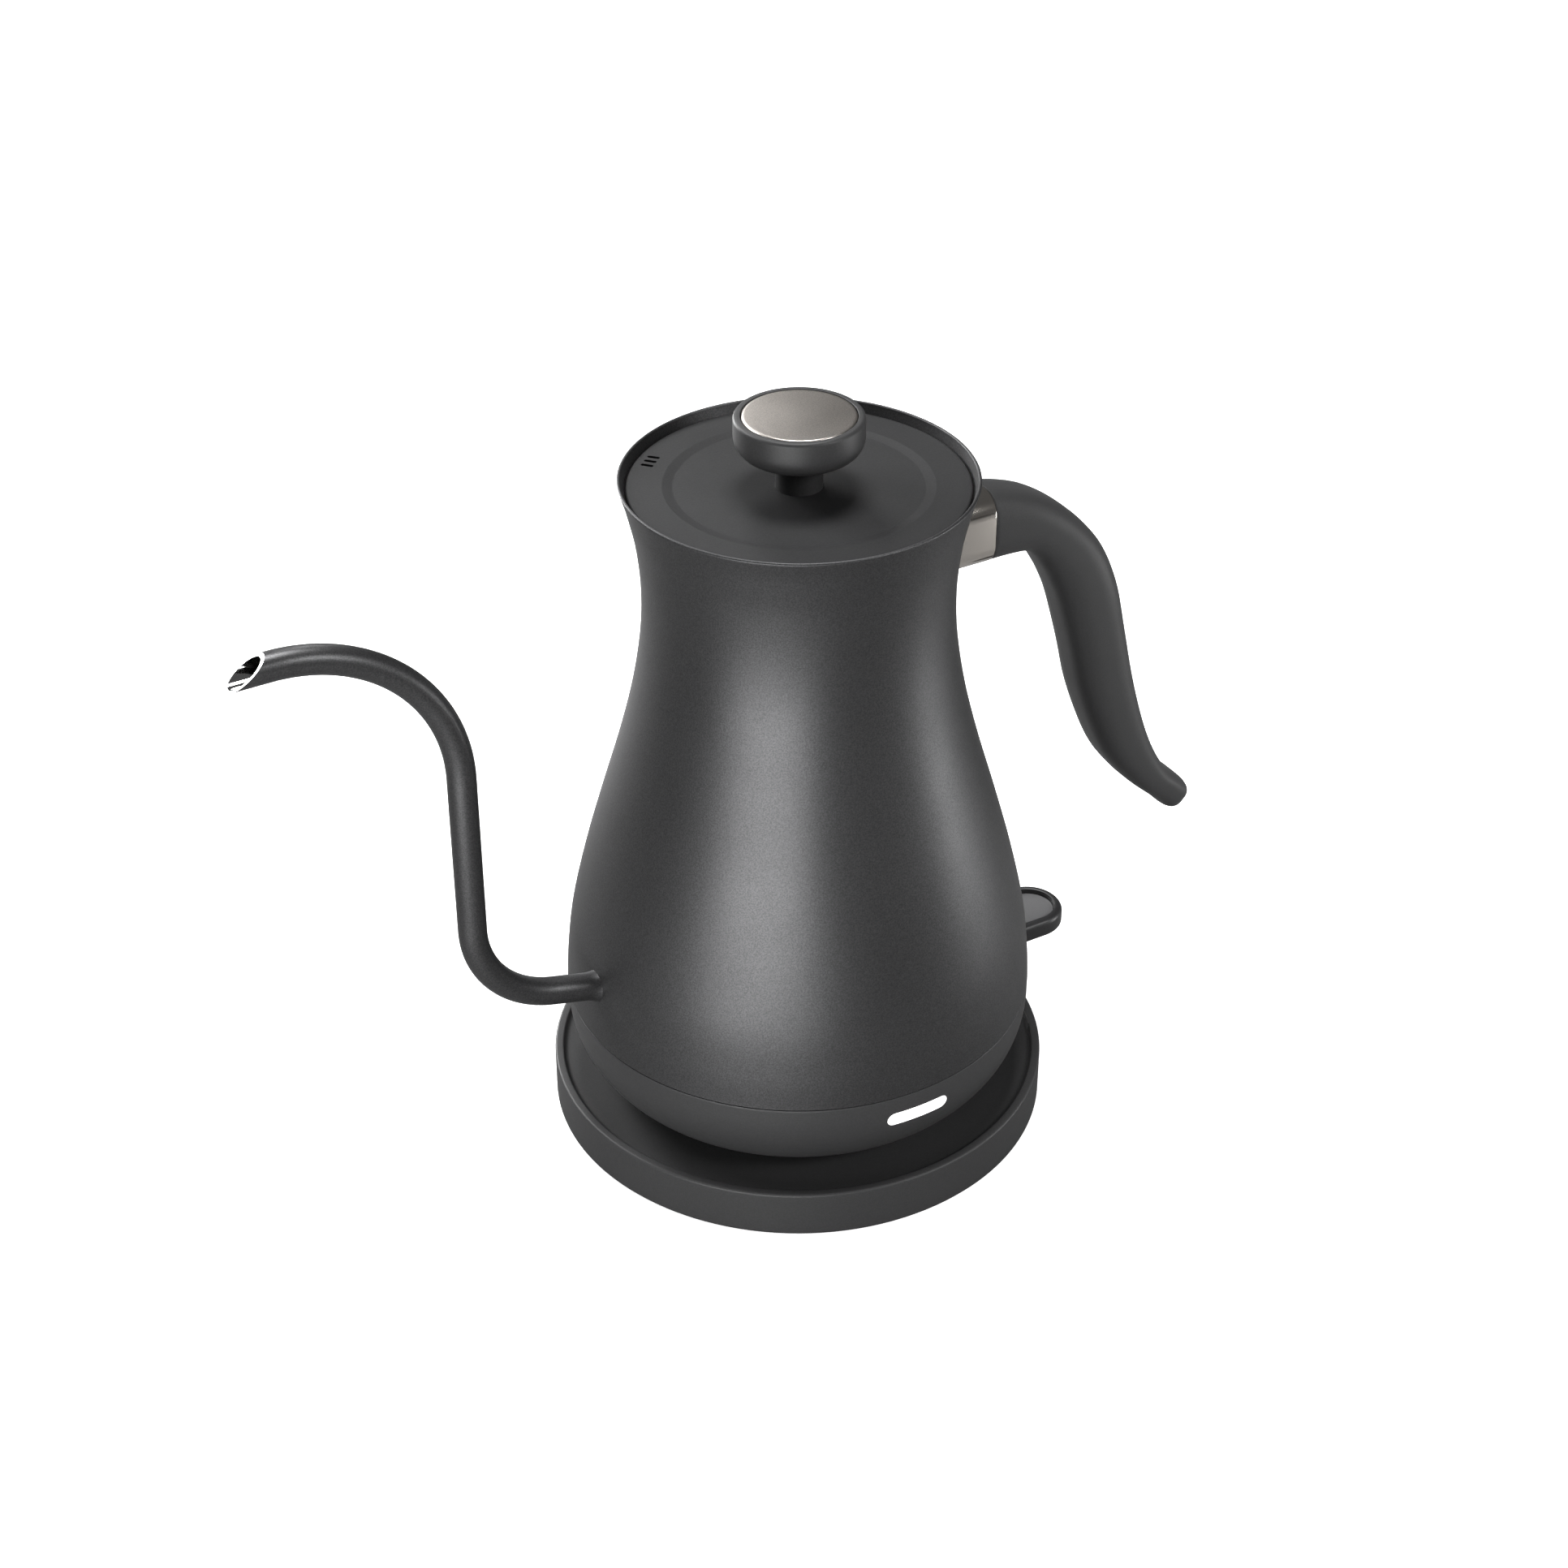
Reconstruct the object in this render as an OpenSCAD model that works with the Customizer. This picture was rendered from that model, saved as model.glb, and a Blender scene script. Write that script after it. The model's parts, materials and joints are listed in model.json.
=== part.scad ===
// Electric gooseneck kettle on a round power base.
// Millimetres. +Z is up, the origin lies on the table under the kettle's axis.
// The spout points along -X, the handle and the switch lever along +X, the lamp window along -Y.

/* [Power base] */
// Radius of the base
base_r = 72.8; // [72.5:0.1:74]
// Height of the rim's top above the table
base_h = 15.5; // [15:0.1:16]
// Wall thickness of the housing
base_wall = 2.4; // [2:0.1:2.6]
// Width of the flat rim round the dish
rim_w = 2.5; // [2:0.1:3]
// Height of the dish's floor, on which the kettle stands
deck_z = 14; // [13.8:0.1:14.2]
// Radius of the ring foot's middle line
foot_r = 64; // [60:1:65]
// Radius of the hole for the mains lead
lead_hole_r = 3.5; // [3:0.1:4]

/* [Body] */
// Height of the rim above the table
rim_z = 204.2; // [204:0.1:206]
// Thickness of the steel wall
shell_t = 1.0; // [0.8:0.1:1.2]
// Height of the seam between the shell and the skirt
seam_z = 42; // [42:0.1:42.4]
// Height of the vessel floor's underside
floor_z = 45; // [45:0.1:45.5]
// Thickness of the vessel floor
floor_t = 1.2; // [1:0.1:1.5]

/* [Skirt] */
// Radius of the bowl's curve in section
bowl_r = 27; // [26.8:0.1:27.2]
// Thickness of the skirt's wall
skirt_t = 2.2; // [2:0.1:2.4]
// Length of the lamp window
window_l = 19.5; // [16:0.5:22]
// Height of the lamp window
window_h = 4.5; // [4:0.1:5]
// Height of the lamp window's middle
window_z = 34.3; // [34:0.1:35]

/* [Spout] */
// Outer radius of the tube
tube_r = 4; // [3.8:0.1:4.2]
// Wall thickness of the tube
tube_t = 0.7; // [0.6:0.1:0.8]
// Height of the level stretch at the tip
tip_z = 190.5; // [190:0.1:191]
// Slant of the cut, as run over rise
tip_cut = 1.375; // [1:0.025:1.5]

/* [Handle] */
// Half of the grip's width
grip_w = 9; // [8.5:0.1:9.5]
// Where the grip starts, measured from the axis
grip_x = 58.4; // [58:0.1:59]
// Squareness of the grip's section, where 2 is an ellipse
grip_square = 3; // [2.6:0.1:3.4]

/* [Switch] */
// Half of the paddle's width
paddle_w = 10.4; // [10:0.1:10.6]
// Reach of the paddle's tip from the axis
paddle_x = 93.2; // [92:0.1:94]
// Thickness of the paddle
paddle_t = 6; // [5.6:0.1:6]

/* [Lid] */
// Radius of the lid
lid_r = 46.3; // [46:0.1:46.4]
// Height of the lid's top face
lid_z = 201.5; // [201.4:0.1:202]
// Radius of the knob's head
knob_r = 17.6; // [17:0.1:18]
// Height of the knob's top
knob_z = 222; // [221:0.1:222]
// Radius of the knob's stem
stem_r = 6.45; // [6:0.1:7]

/* [Hidden] */
$fn = 96;

// Clearances
fit_gap = 0.05;
part_gap = 0.3;

// Colours
coat_grey = [0.26, 0.26, 0.265];
plastic_grey = [0.22, 0.22, 0.225];
dark_grey = [0.13, 0.13, 0.135];
rubber_black = [0.07, 0.07, 0.07];
steel_grey = [0.72, 0.72, 0.73];
nickel = [0.78, 0.74, 0.69];
brass_yellow = [0.78, 0.62, 0.32];
lamp_white = [0.98, 0.98, 0.96];
natural_plastic = [0.82, 0.80, 0.74];

// Base
base_cover_z = 1.5;
cover_bottom_z = 0.5;
cover_inner_z = 2.5;
foot_w = 8;
foot_top_z = 1.2;
deck_t = 2;
screw_pcr = 52;
connector_pcr = 22;
gland_z = 6.5;
gland_half = 4.9;

// Coupling
boss_r = 16.5;
boss_top_z = 23.5;
pin_r = 2.4;
inner_ring = [6.9, 7.7];
outer_ring = [11.3, 12.1];
ring_gap = 0.6;
coupling_top_z = 25;
seal_inner_r = 18.4;
seal_outer_r = 24;
control_pcr = 26;
blade_gap = 0.35;
kettle_foot_z = deck_z + part_gap;

// Skirt bowl: an arc round this centre, from the side down to the flat bottom
skirt_r = 67.9;
bowl_cx = skirt_r - bowl_r;
bowl_cz = 38;
skirt_hole_r = 24.5;
stud_pcr = 50;
led_board_y = 57;
led_board_t = 1.6;

// Switch
pivot_x = 58;
pivot_z = 31.5;
pivot_r = 1.5;
paddle_z0 = 28.5;
paddle_cx = paddle_x - paddle_w;
switch_swing = 12;

// Handle stations: outer edge x z, inner edge x z, from the collar to the open end
handle_stations = [
    [58.4, 186.4, 58.4, 164.2],
    [66, 184.5, 66, 164.2],
    [74.5, 181.1, 71.8, 163.5],
    [83.5, 175.2, 75.8, 160.4],
    [92.2, 167, 78.8, 155.8],
    [99.2, 157.5, 81.8, 150.2],
    [104.7, 144.6, 85.2, 141.9],
    [108.3, 129.8, 90.1, 125.3],
    [111.9, 114.4, 93.9, 110.4],
    [115.1, 102.6, 99, 96.6],
    [118.8, 91.2, 104.3, 85.4],
    [122.9, 81.6, 110.5, 76.7],
    [127.5, 74, 116.8, 69.7],
    [132.6, 69, 124.4, 62.7],
    [135.1, 66.5, 127.8, 59.2]
];
steps_per_span = 3;
handle_cap_l = 6;
cap_steps = 5;
handle_sides = 28;

// Body outline: height, radius
body_points = [
    [42.2, 67.95], [52, 67.4], [66, 65.6], [84, 61.5], [102, 56.5], [120, 51.2],
    [136, 47.1], [150, 44.5], [162, 43.2], [174, 43.1], [186, 44.3], [196, 46.4],
    [204.2, 48.7]
];
body_steps = 2;

// ---- Curves ----

// Point on the Catmull-Rom curve between b and c
function curve_point(a, b, c, d, t) =
    0.5 * ((2 * b) + (c - a) * t + (2 * a - 5 * b + 4 * c - d) * t * t
    + (3 * b - a - 3 * c + d) * t * t * t);

// Smooth list of points through p, with n steps in each span
function smooth(p, n) = [
    for (i = [0 : len(p) - 2], s = [0 : n - 1])
        curve_point(p[max(i - 1, 0)], p[i], p[i + 1], p[min(i + 2, len(p) - 1)], s / n),
    p[len(p) - 1]
];

// Points of an arc round [cx, cz]
function arc(cx, cz, r, a0, a1, n) = [
    for (i = [0 : n]) [cx + r * cos(a0 + (a1 - a0) * i / n), cz + r * sin(a0 + (a1 - a0) * i / n)]
];

body_curve = smooth(body_points, body_steps);

// Outline of the body in radius and height, moved outwards by d
function body_side(d) = [for (p = body_curve) [p[1] + d, p[0]]];

// Solid of revolution under the body's outline, moved outwards by d
module body_solid(d) {
    side = body_side(d);
    rotate_extrude()
        polygon(concat([[0, side[0][1]]], side, [[0, side[len(side) - 1][1]]]));
}

// Angle at which the bowl's curve meets the height z
function bowl_angle(r, z) = asin((z - bowl_cz) / r);

// Outline of the skirt's outer face, shrunk by d, from the flat bottom up to the seam
function bowl_side(d, low, high) = concat(
    arc(bowl_cx, bowl_cz, bowl_r - d, bowl_angle(bowl_r - d, low), 0, 12),
    [[skirt_r - d, high]]
);

// Solid of the space inside the skirt, shrunk by d
module bowl_solid(d, low, high) {
    rotate_extrude()
        polygon(concat([[0, low]], bowl_side(d, low, high), [[0, high]]));
}

// ---- Repeated hardware ----

// Skin over a list of rings, which are capped at both ends or join up in a loop
module ring_skin(rings, loop) {
    n = len(rings[0]);
    m = len(rings);
    points = [for (r = rings, p = r) p];
    sides = [
        for (i = [0 : m - (loop ? 1 : 2)], k = [0 : n - 1])
            let (
                next = (k + 1) % n,
                a = i * n + k,
                b = i * n + next,
                c = ((i + 1) % m) * n + k,
                d = ((i + 1) % m) * n + next
            )
            each [[a, b, c], [b, d, c]]
    ];
    caps = loop ? [] : [[for (k = [n - 1 : -1 : 0]) k], [for (k = [0 : n - 1]) (m - 1) * n + k]];
    polyhedron(points, concat(sides, caps), convexity = 6);
}

// Ring of copies round the Z axis
module around(n, r, start = 0) {
    for (i = [0 : n - 1])
        rotate([0, 0, start + i * 360 / n])
            translate([r, 0, 0])
                children();
}

// Tube with its axis on Z
module tube(r_out, r_in, h) {
    difference() {
        cylinder(r = r_out, h = h);
        translate([0, 0, -1])
            cylinder(r = r_in, h = h + 2);
    }
}

// Pan-head screw, head down, seat of the head at z = 0, slotted
module screw(head_r, head_h, shank_r, shank_l) {
    difference() {
        union() {
            translate([0, 0, -head_h])
                cylinder(r = head_r, h = head_h, $fn = 48);
            cylinder(r = shank_r, h = shank_l, $fn = 32);
        }
        translate([-head_r, -0.3, -head_h - 1])
            cube([2 * head_r, 0.6, 1 + head_h / 2]);
    }
}

// Upright stadium, its length along X and its width along Y
module stadium(l, w, h) {
    translate([-(l - w) / 2, -w / 2, 0])
        cube([l - w, w, h]);
    for (side = [-1, 1])
        translate([side * (l - w) / 2, 0, 0])
            cylinder(r = w / 2, h = h);
}

// ---- Power base ----

module base_housing() {
    inner_r = base_r - base_wall;
    dish_r = base_r - rim_w;
    edge = 0.5;
    post_r = 3.4;
    color(plastic_grey)
    difference() {
        union() {
            rotate_extrude($fn = 180)
                polygon([
                    [inner_r, base_cover_z + 0.02], [base_r, base_cover_z + 0.02],
                    [base_r, base_h - edge], [base_r - edge, base_h],
                    [dish_r + edge / 2, base_h], [dish_r, base_h - edge / 2],
                    [dish_r - edge, deck_z], [boss_r + 0.4, deck_z],
                    [boss_r + 0.4, deck_z - deck_t], [inner_r, deck_z - deck_t]
                ]);
            around(3, screw_pcr, 30)
                translate([0, 0, cover_inner_z + 0.02])
                    cylinder(r = post_r, h = deck_z - deck_t - cover_inner_z);
            around(3, connector_pcr, 90)
                translate([0, 0, 10])
                    cylinder(r = 2.8, h = 2.2);
        }
        around(3, screw_pcr, 30)
            cylinder(r = 1.5, h = 10.5);
        around(3, connector_pcr, 90)
            cylinder(r = 1.25, h = 13.4);
        translate([-gland_half - 0.05, inner_r - 5, -1])
            cube([2 * gland_half + 0.1, 12, gland_z + gland_half + 1.05]);
    }
}

module base_cover() {
    edge = 0.4;
    plate_r = base_r - base_wall - 0.3;
    color(dark_grey)
    difference() {
        rotate_extrude($fn = 180)
            polygon([
                [0, cover_bottom_z], [base_r - 0.7 - edge, cover_bottom_z],
                [base_r - 0.7, cover_bottom_z + edge], [base_r - 0.7, base_cover_z],
                [plate_r, base_cover_z], [plate_r, cover_inner_z], [0, cover_inner_z]
            ]);
        translate([0, 0, -1])
            tube(foot_r + foot_w / 2 + fit_gap, foot_r - foot_w / 2 - fit_gap, foot_top_z + 1);
        around(3, screw_pcr, 30) {
            translate([0, 0, -1])
                cylinder(r = 1.7, h = 5);
            translate([0, 0, -1])
                cylinder(r = 3, h = 2.5);
        }
        translate([-8, base_r - base_wall - 4.5, cover_bottom_z + 1.02])
            cube([16, 6, 3]);
    }
}

module base_foot_ring() {
    color(rubber_black)
    rotate_extrude($fn = 120)
        polygon([
            [foot_r - foot_w / 2, foot_top_z], [foot_r - foot_w / 2, 0.3],
            [foot_r - foot_w / 2 + 0.3, 0], [foot_r + foot_w / 2 - 0.3, 0],
            [foot_r + foot_w / 2, 0.3], [foot_r + foot_w / 2, foot_top_z]
        ]);
}

module base_screws() {
    color(steel_grey)
    around(3, screw_pcr, 30)
        translate([0, 0, 1.5])
            screw(2.7, 0.9, 1.45, 8);
}

module cord_gland() {
    wall_out = base_r;
    wall_in = base_r - base_wall;
    color(rubber_black)
    difference() {
        union() {
            translate([-gland_half, wall_in - 1.9, gland_z - gland_half])
                cube([2 * gland_half, base_wall + 1.9, 2 * gland_half]);
            translate([-gland_half - 2, wall_in - 3, gland_z - gland_half])
                cube([2 * gland_half + 4, 2.3, 2 * gland_half]);
            translate([0, wall_out - 0.5, gland_z])
                rotate([-90, 0, 0])
                    cylinder(r = 4.8, h = 2.5);
        }
        translate([0, wall_in - 5, gland_z])
            rotate([-90, 0, 0])
                cylinder(r = lead_hole_r, h = 12);
    }
}

module connector_body() {
    flange_r = 26;
    color(natural_plastic)
    difference() {
        union() {
            translate([0, 0, 5])
                cylinder(r = boss_r, h = boss_top_z - 5);
            translate([0, 0, 8])
                cylinder(r = flange_r, h = 1.98);
        }
        translate([0, 0, 12])
            cylinder(r = 3.6, h = 20);
        translate([0, 0, 13])
            tube(inner_ring[1] + ring_gap, inner_ring[0] - ring_gap, 12);
        translate([0, 0, 13])
            tube(outer_ring[1] + ring_gap, outer_ring[0] - ring_gap, 12);
        around(3, connector_pcr, 90)
            translate([0, 0, 7])
                cylinder(r = 1.4, h = 4);
        contact_windows(0.05);
    }
}

// Seats of the spring blades, grown by d, beside the two ring slots
module contact_windows(d) {
    for (r = [inner_ring[1] + blade_gap, outer_ring[1] + blade_gap], turn = [0, 180])
        rotate([0, 0, turn])
            translate([r - (d > 0 ? 1 : 0), -1.5 - d, 14 - d])
                cube([0.9 + (d > 0 ? 1 : 0) + d, 3 + 2 * d, 7 + 2 * d]);
}

module connector_contacts() {
    color(brass_yellow) {
        translate([0, 0, 12.05])
            tube(3.55, 2.7, 8);
        contact_windows(0);
    }
}

module connector_screws() {
    color(steel_grey)
    around(3, connector_pcr, 90)
        translate([0, 0, 7.98])
            screw(2.4, 1.4, 1.2, 5.2);
}

module terminal_tabs() {
    color(brass_yellow)
    for (i = [-1, 0, 1])
        translate([i * 8 - 2.4, -0.4, 2.9])
            cube([4.8, 0.8, 2.08]);
}

// ---- Coupling ----

module coupling_seal() {
    color(rubber_black)
    rotate_extrude($fn = 120)
        polygon([
            [seal_inner_r, 14.7], [seal_outer_r, 14.7], [seal_outer_r, 18.1],
            [seal_outer_r - 1.6, 18.1], [seal_outer_r - 1.6, 16.4], [seal_inner_r, 16.4]
        ]);
}

module control_housing() {
    outer_r = 22.2;
    bottom_z = 18.5;
    flange_z = 38.6;
    top_z = 41.95;
    color(natural_plastic)
    difference() {
        union() {
            translate([0, 0, bottom_z])
                cylinder(r = outer_r, h = top_z - bottom_z);
            translate([0, 0, flange_z])
                cylinder(r = 29.5, h = top_z - flange_z);
        }
        translate([0, 0, bottom_z - 1])
            cylinder(r = seal_inner_r - 0.2, h = coupling_top_z - bottom_z + 1);
        translate([0, 0, 30])
            cylinder(r = 19, h = 20);
        translate([0, 0, 20])
            cylinder(r = pin_r + fit_gap, h = 12);
        for (ring = [inner_ring, outer_ring])
            translate([0, 0, coupling_top_z - 1])
                tube(ring[1] + fit_gap, ring[0] - fit_gap, 4);
        around(3, control_pcr, 90)
            translate([0, 0, 35])
                cylinder(r = 1.6, h = 10);
    }
}

module coupling_pin() {
    color(brass_yellow)
    union() {
        translate([0, 0, 15.2])
            cylinder(r = pin_r, h = 16.8);
        translate([0, 0, 30.02])
            cylinder(r = 4, h = 1.4);
    }
}

module coupling_rings() {
    color(brass_yellow)
    for (ring = [inner_ring, outer_ring])
        translate([0, 0, 16])
            tube(ring[1], ring[0], coupling_top_z + 2.95 - 16);
}

module thermostat_disc() {
    color(nickel)
    translate([0, 0, 40.8])
        tube(9.5, 1.2, 0.4);
}

module control_terminals() {
    color(brass_yellow)
    for (turn = [60, 180, 300])
        rotate([0, 0, turn])
            translate([12, -2.4, 30.02])
                cube([0.8, 4.8, 8]);
}

module control_screws() {
    color(steel_grey)
    around(3, control_pcr, 90)
        translate([0, 0, 38.58])
            screw(2.6, 1.5, 1.45, 5.4);
}

// ---- Kettle body ----

module body_shell() {
    side = body_side(0);
    inner = body_side(-shell_t);
    n = len(side);
    lip = 0.3;
    wall = concat(
        [for (i = [0 : n - 2]) side[i]],
        [[side[n - 1][0] - 0.05, rim_z - lip], [side[n - 1][0] - lip, rim_z],
         [inner[n - 1][0] + lip, rim_z], [inner[n - 1][0], rim_z - lip]],
        [for (i = [n - 2 : -1 : 0]) inner[i]]
    );
    color(coat_grey)
    difference() {
        rotate_extrude($fn = 180)
            polygon(wall);
        spout_hole();
    }
}

module vessel_floor() {
    color(steel_grey)
    difference() {
        intersection() {
            translate([0, 0, floor_z])
                cylinder(r = 80, h = floor_t);
            body_solid(-shell_t - 0.01);
        }
        steam_path(3.52);
    }
}

module floor_studs() {
    color(steel_grey)
    around(3, stud_pcr, 30)
        translate([0, 0, 22])
            tube(2.6, 1.5, floor_z - 22 - 0.01);
}

// Straight path of the steam tube, from the neck down through the floor
module steam_path(r) {
    top = [35.8, 172];
    low = [54.5, 43];
    rise = top[1] - low[1];
    run = top[0] - low[0];
    translate([low[0], 0, low[1]])
        rotate([0, atan2(run, rise), 0])
            cylinder(r = r, h = sqrt(rise * rise + run * run), $fn = 48);
}

module steam_tube() {
    color(steel_grey)
    difference() {
        steam_path(3.5);
        translate([0.3, 0, -2.1])
            steam_path(2.9);
        translate([-0.3, 0, 2.1])
            steam_path(2.9);
    }
}

module heat_spreader() {
    color(steel_grey)
    difference() {
        translate([0, 0, floor_z - 3])
            cylinder(r = 45.5, h = 2.98);
        around(3, control_pcr, 90)
            translate([0, 0, 40])
                cylinder(r = 1.5, h = 4.4);
    }
}

module heating_element() {
    sweep = 290;
    ring_r = 38;
    sheath_r = 3.2;
    end_turn = 4;
    centre_z = floor_z - 3 - sheath_r - 0.02;
    color(dark_grey)
    translate([0, 0, centre_z])
        rotate([0, 0, 90 + (360 - sweep) / 2]) {
            rotate_extrude(angle = sweep)
                translate([ring_r, 0])
                    circle(r = sheath_r, $fn = 48);
            for (turn = [end_turn, sweep - end_turn])
                rotate([0, 0, turn])
                    translate([ring_r, 0, -8])
                        cylinder(r = 1.4, h = 8, $fn = 32);
        }
}

// ---- Skirt ----

module base_skirt() {
    lip_t = 1.8;
    inner_r = skirt_r - skirt_t;
    color(plastic_grey)
    difference() {
        union() {
            rotate_extrude($fn = 180)
                polygon(concat(
                    [[skirt_hole_r, kettle_foot_z]],
                    bowl_side(0, kettle_foot_z, seam_z),
                    [[66.7, seam_z], [66.7, floor_z - 0.6], [66.7 - lip_t, floor_z - 0.6],
                     [inner_r, seam_z - 3]],
                    [for (p = arc(bowl_cx, bowl_cz, bowl_r - skirt_t, 0,
                        bowl_angle(bowl_r - skirt_t, kettle_foot_z + skirt_t), 12)) p],
                    [[skirt_hole_r + 2, kettle_foot_z + skirt_t], [skirt_hole_r + 2, 21],
                     [skirt_hole_r, 21]]
                ));
            around(3, stud_pcr, 30)
                translate([0, 0, kettle_foot_z + 1])
                    cylinder(r = 4.6, h = 21.9 - kettle_foot_z - 1);
        }
        around(3, stud_pcr, 30) {
            translate([0, 0, 10])
                cylinder(r = 1.7, h = 20);
            translate([0, 0, 10])
                cylinder(r = 3.3, h = 7.6);
        }
        window_cutter(0.05);
        switch_slot();
    }
}

// Stadium that cuts the lamp window through the skirt's -Y wall, grown by d
module window_cutter(d) {
    translate([0, -60, window_z])
        rotate([90, 0, 0])
            stadium(window_l + 2 * d, window_h + 2 * d, 15);
}

// Slot in the skirt's +X wall in which the switch lever rocks
module switch_slot() {
    slot_w = paddle_w + 0.6;
    low = paddle_z0 - 0.6;
    high = paddle_z0 + paddle_t + (skirt_r - pivot_x) * tan(switch_swing) + 0.9;
    translate([pivot_x + 2, -slot_w, low])
        cube([20, 2 * slot_w, high - low]);
}

module skirt_screws() {
    color(steel_grey)
    around(3, stud_pcr, 30)
        translate([0, 0, 17.6])
            screw(2.9, 1.8, 1.45, 18);
}

module light_window() {
    color(lamp_white)
    intersection() {
        window_cutter(0);
        difference() {
            bowl_solid(0.02, 16, seam_z);
            bowl_solid(skirt_t, 17, seam_z + 1);
        }
    }
}

module light_guide() {
    color([0.9, 0.92, 0.92])
    intersection() {
        translate([-11, -70, window_z - 3.4])
            cube([22, 12, 6.8]);
        bowl_solid(skirt_t + 0.05, 17, seam_z);
    }
}

module led_board() {
    lamp_l = 0.96;
    color([0.12, 0.35, 0.2])
    translate([-13, -led_board_y, window_z - 5])
        cube([26, led_board_t, 10]);
    color(natural_plastic)
    for (i = [-1, 0, 1])
        translate([i * 6 - 1.5, -led_board_y - lamp_l, window_z - 1.5])
            cube([3, lamp_l + 0.1, 3]);
}

// Two level leads from the control to the lamp board
module led_leads() {
    start_y = 22.3;
    end_y = led_board_y - led_board_t - 0.02;
    color([0.6, 0.1, 0.1])
    for (side = [-1, 1])
        translate([side * 6, -start_y, 31])
            rotate([90, 0, 0])
                cylinder(r = 0.7, h = end_y - start_y, $fn = 16);
}

// ---- Switch ----

module switch_bracket() {
    ear_y = paddle_w + 1;
    ear_t = 2;
    color(natural_plastic)
    difference() {
        intersection() {
            union() {
                for (side = [-1, 1])
                    translate([pivot_x - 4.5, side * (ear_y + ear_t / 2) - ear_t / 2, 17])
                        cube([8.5, ear_t, 21]);
                translate([pivot_x - 9, -ear_y - ear_t, 36.4])
                    cube([11, 2 * (ear_y + ear_t), 1.8]);
            }
            bowl_solid(skirt_t + 0.1, kettle_foot_z + skirt_t + 0.05, seam_z);
        }
        translate([pivot_x, 20, pivot_z])
            rotate([90, 0, 0])
                cylinder(r = pivot_r + 0.02, h = 40);
        translate([53.2, 0, 30])
            cylinder(r = 3, h = 10);
    }
}

module switch_pivot() {
    pin_l = 2 * (paddle_w + 3);
    color(steel_grey)
    translate([pivot_x, pin_l / 2, pivot_z])
        rotate([90, 0, 0])
            cylinder(r = pivot_r, h = pin_l);
}

module steam_disc() {
    color(nickel)
    translate([53.2, 0, 38.22])
        tube(6, 1, 0.4);
}

// Paddle outline: a round end on a straight neck, its edges rounded in steps
module paddle_slab(half_w, z0, h) {
    translate([paddle_cx, 0, z0])
        cylinder(r = half_w, h = h);
    translate([pivot_x + 4, -half_w, z0])
        cube([paddle_cx - pivot_x - 4, 2 * half_w, h]);
}

module switch_lever() {
    hub_r = 3.4;
    hub_l = 2 * (paddle_w - 0.2);
    ring_w = 2.6;
    bevel = 1.2;
    color(dark_grey)
    difference() {
        union() {
            paddle_slab(paddle_w, paddle_z0 + bevel, paddle_t - 1.5 * bevel);
            paddle_slab(paddle_w - bevel / 2, paddle_z0, paddle_t);
            translate([pivot_x, hub_l / 2, pivot_z])
                rotate([90, 0, 0])
                    cylinder(r = hub_r, h = hub_l);
            translate([pivot_x - 10, -3, pivot_z - 1.5])
                cube([8, 6, 3]);
            translate([pivot_x, -hub_l / 2, pivot_z - 2.9])
                cube([5, hub_l, 5.9]);
        }
        translate([paddle_cx, 0, paddle_z0 + 1.2])
            cylinder(r = paddle_w - ring_w, h = paddle_t);
        translate([pivot_x + 14, -paddle_w + ring_w, paddle_z0 + 1.2])
            cube([paddle_cx - pivot_x - 14, 2 * (paddle_w - ring_w), paddle_t]);
        translate([pivot_x, 20, pivot_z])
            rotate([90, 0, 0])
                cylinder(r = pivot_r + fit_gap, h = 40);
    }
}

module switch_lens() {
    ring_w = 2.65;
    half_w = paddle_w - ring_w;
    lens_t = 3.2;
    color([0.35, 0.35, 0.36])
    translate([0, 0, paddle_z0 + 1.22]) {
        translate([paddle_cx, 0, 0])
            cylinder(r = half_w, h = lens_t);
        translate([pivot_x + 14.05, -half_w, 0])
            cube([paddle_cx - pivot_x - 14.05, 2 * half_w, lens_t]);
    }
}

// ---- Spout ----

// The centre line's heading is the angle from level and outwards (-X) to upright
root_pitch = 14;
low_bend_r = 30;
low_bend = [-72.6, 91.9];
top_bend_r = 49;
stem_x = low_bend[0] - low_bend_r;
top_bend = [stem_x - top_bend_r, tip_z - top_bend_r];
root_end = [low_bend[0] - low_bend_r * sin(root_pitch), low_bend[1] - low_bend_r * cos(root_pitch)];
spout_sides = 32;
tip_x = -158;
tip_l = 14;

// Stretch of the root, measured back from the first bend, and the weld's thickness there
root_weld = [[22, 2.2], [14.8, 2.2], [13.2, 1.1], [11.6, 0.35], [9.6, 0]];

// Path points: x, z, heading, weld thickness
spout_path = concat(
    [for (w = root_weld) [
        root_end[0] + w[0] * cos(root_pitch), root_end[1] - w[0] * sin(root_pitch),
        root_pitch, w[1]
    ]],
    [for (h = [root_pitch : (90 - root_pitch) / 11 : 90.01])
        [low_bend[0] - low_bend_r * sin(h), low_bend[1] - low_bend_r * cos(h), h, 0]],
    [for (h = [90 : -90 / 15 : -0.01])
        [top_bend[0] + top_bend_r * sin(h), top_bend[1] + top_bend_r * cos(h), h, 0]],
    [[top_bend[0] - tip_l, tip_z, 0, 0]]
);

// Ring of radius r round the path point p
function spout_ring(p, r) = [
    for (k = [0 : spout_sides - 1])
        let (t = 360 * k / spout_sides)
        [p[0] + r * cos(t) * sin(p[2]), -r * sin(t), p[1] + r * cos(t) * cos(p[2])]
];

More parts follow.
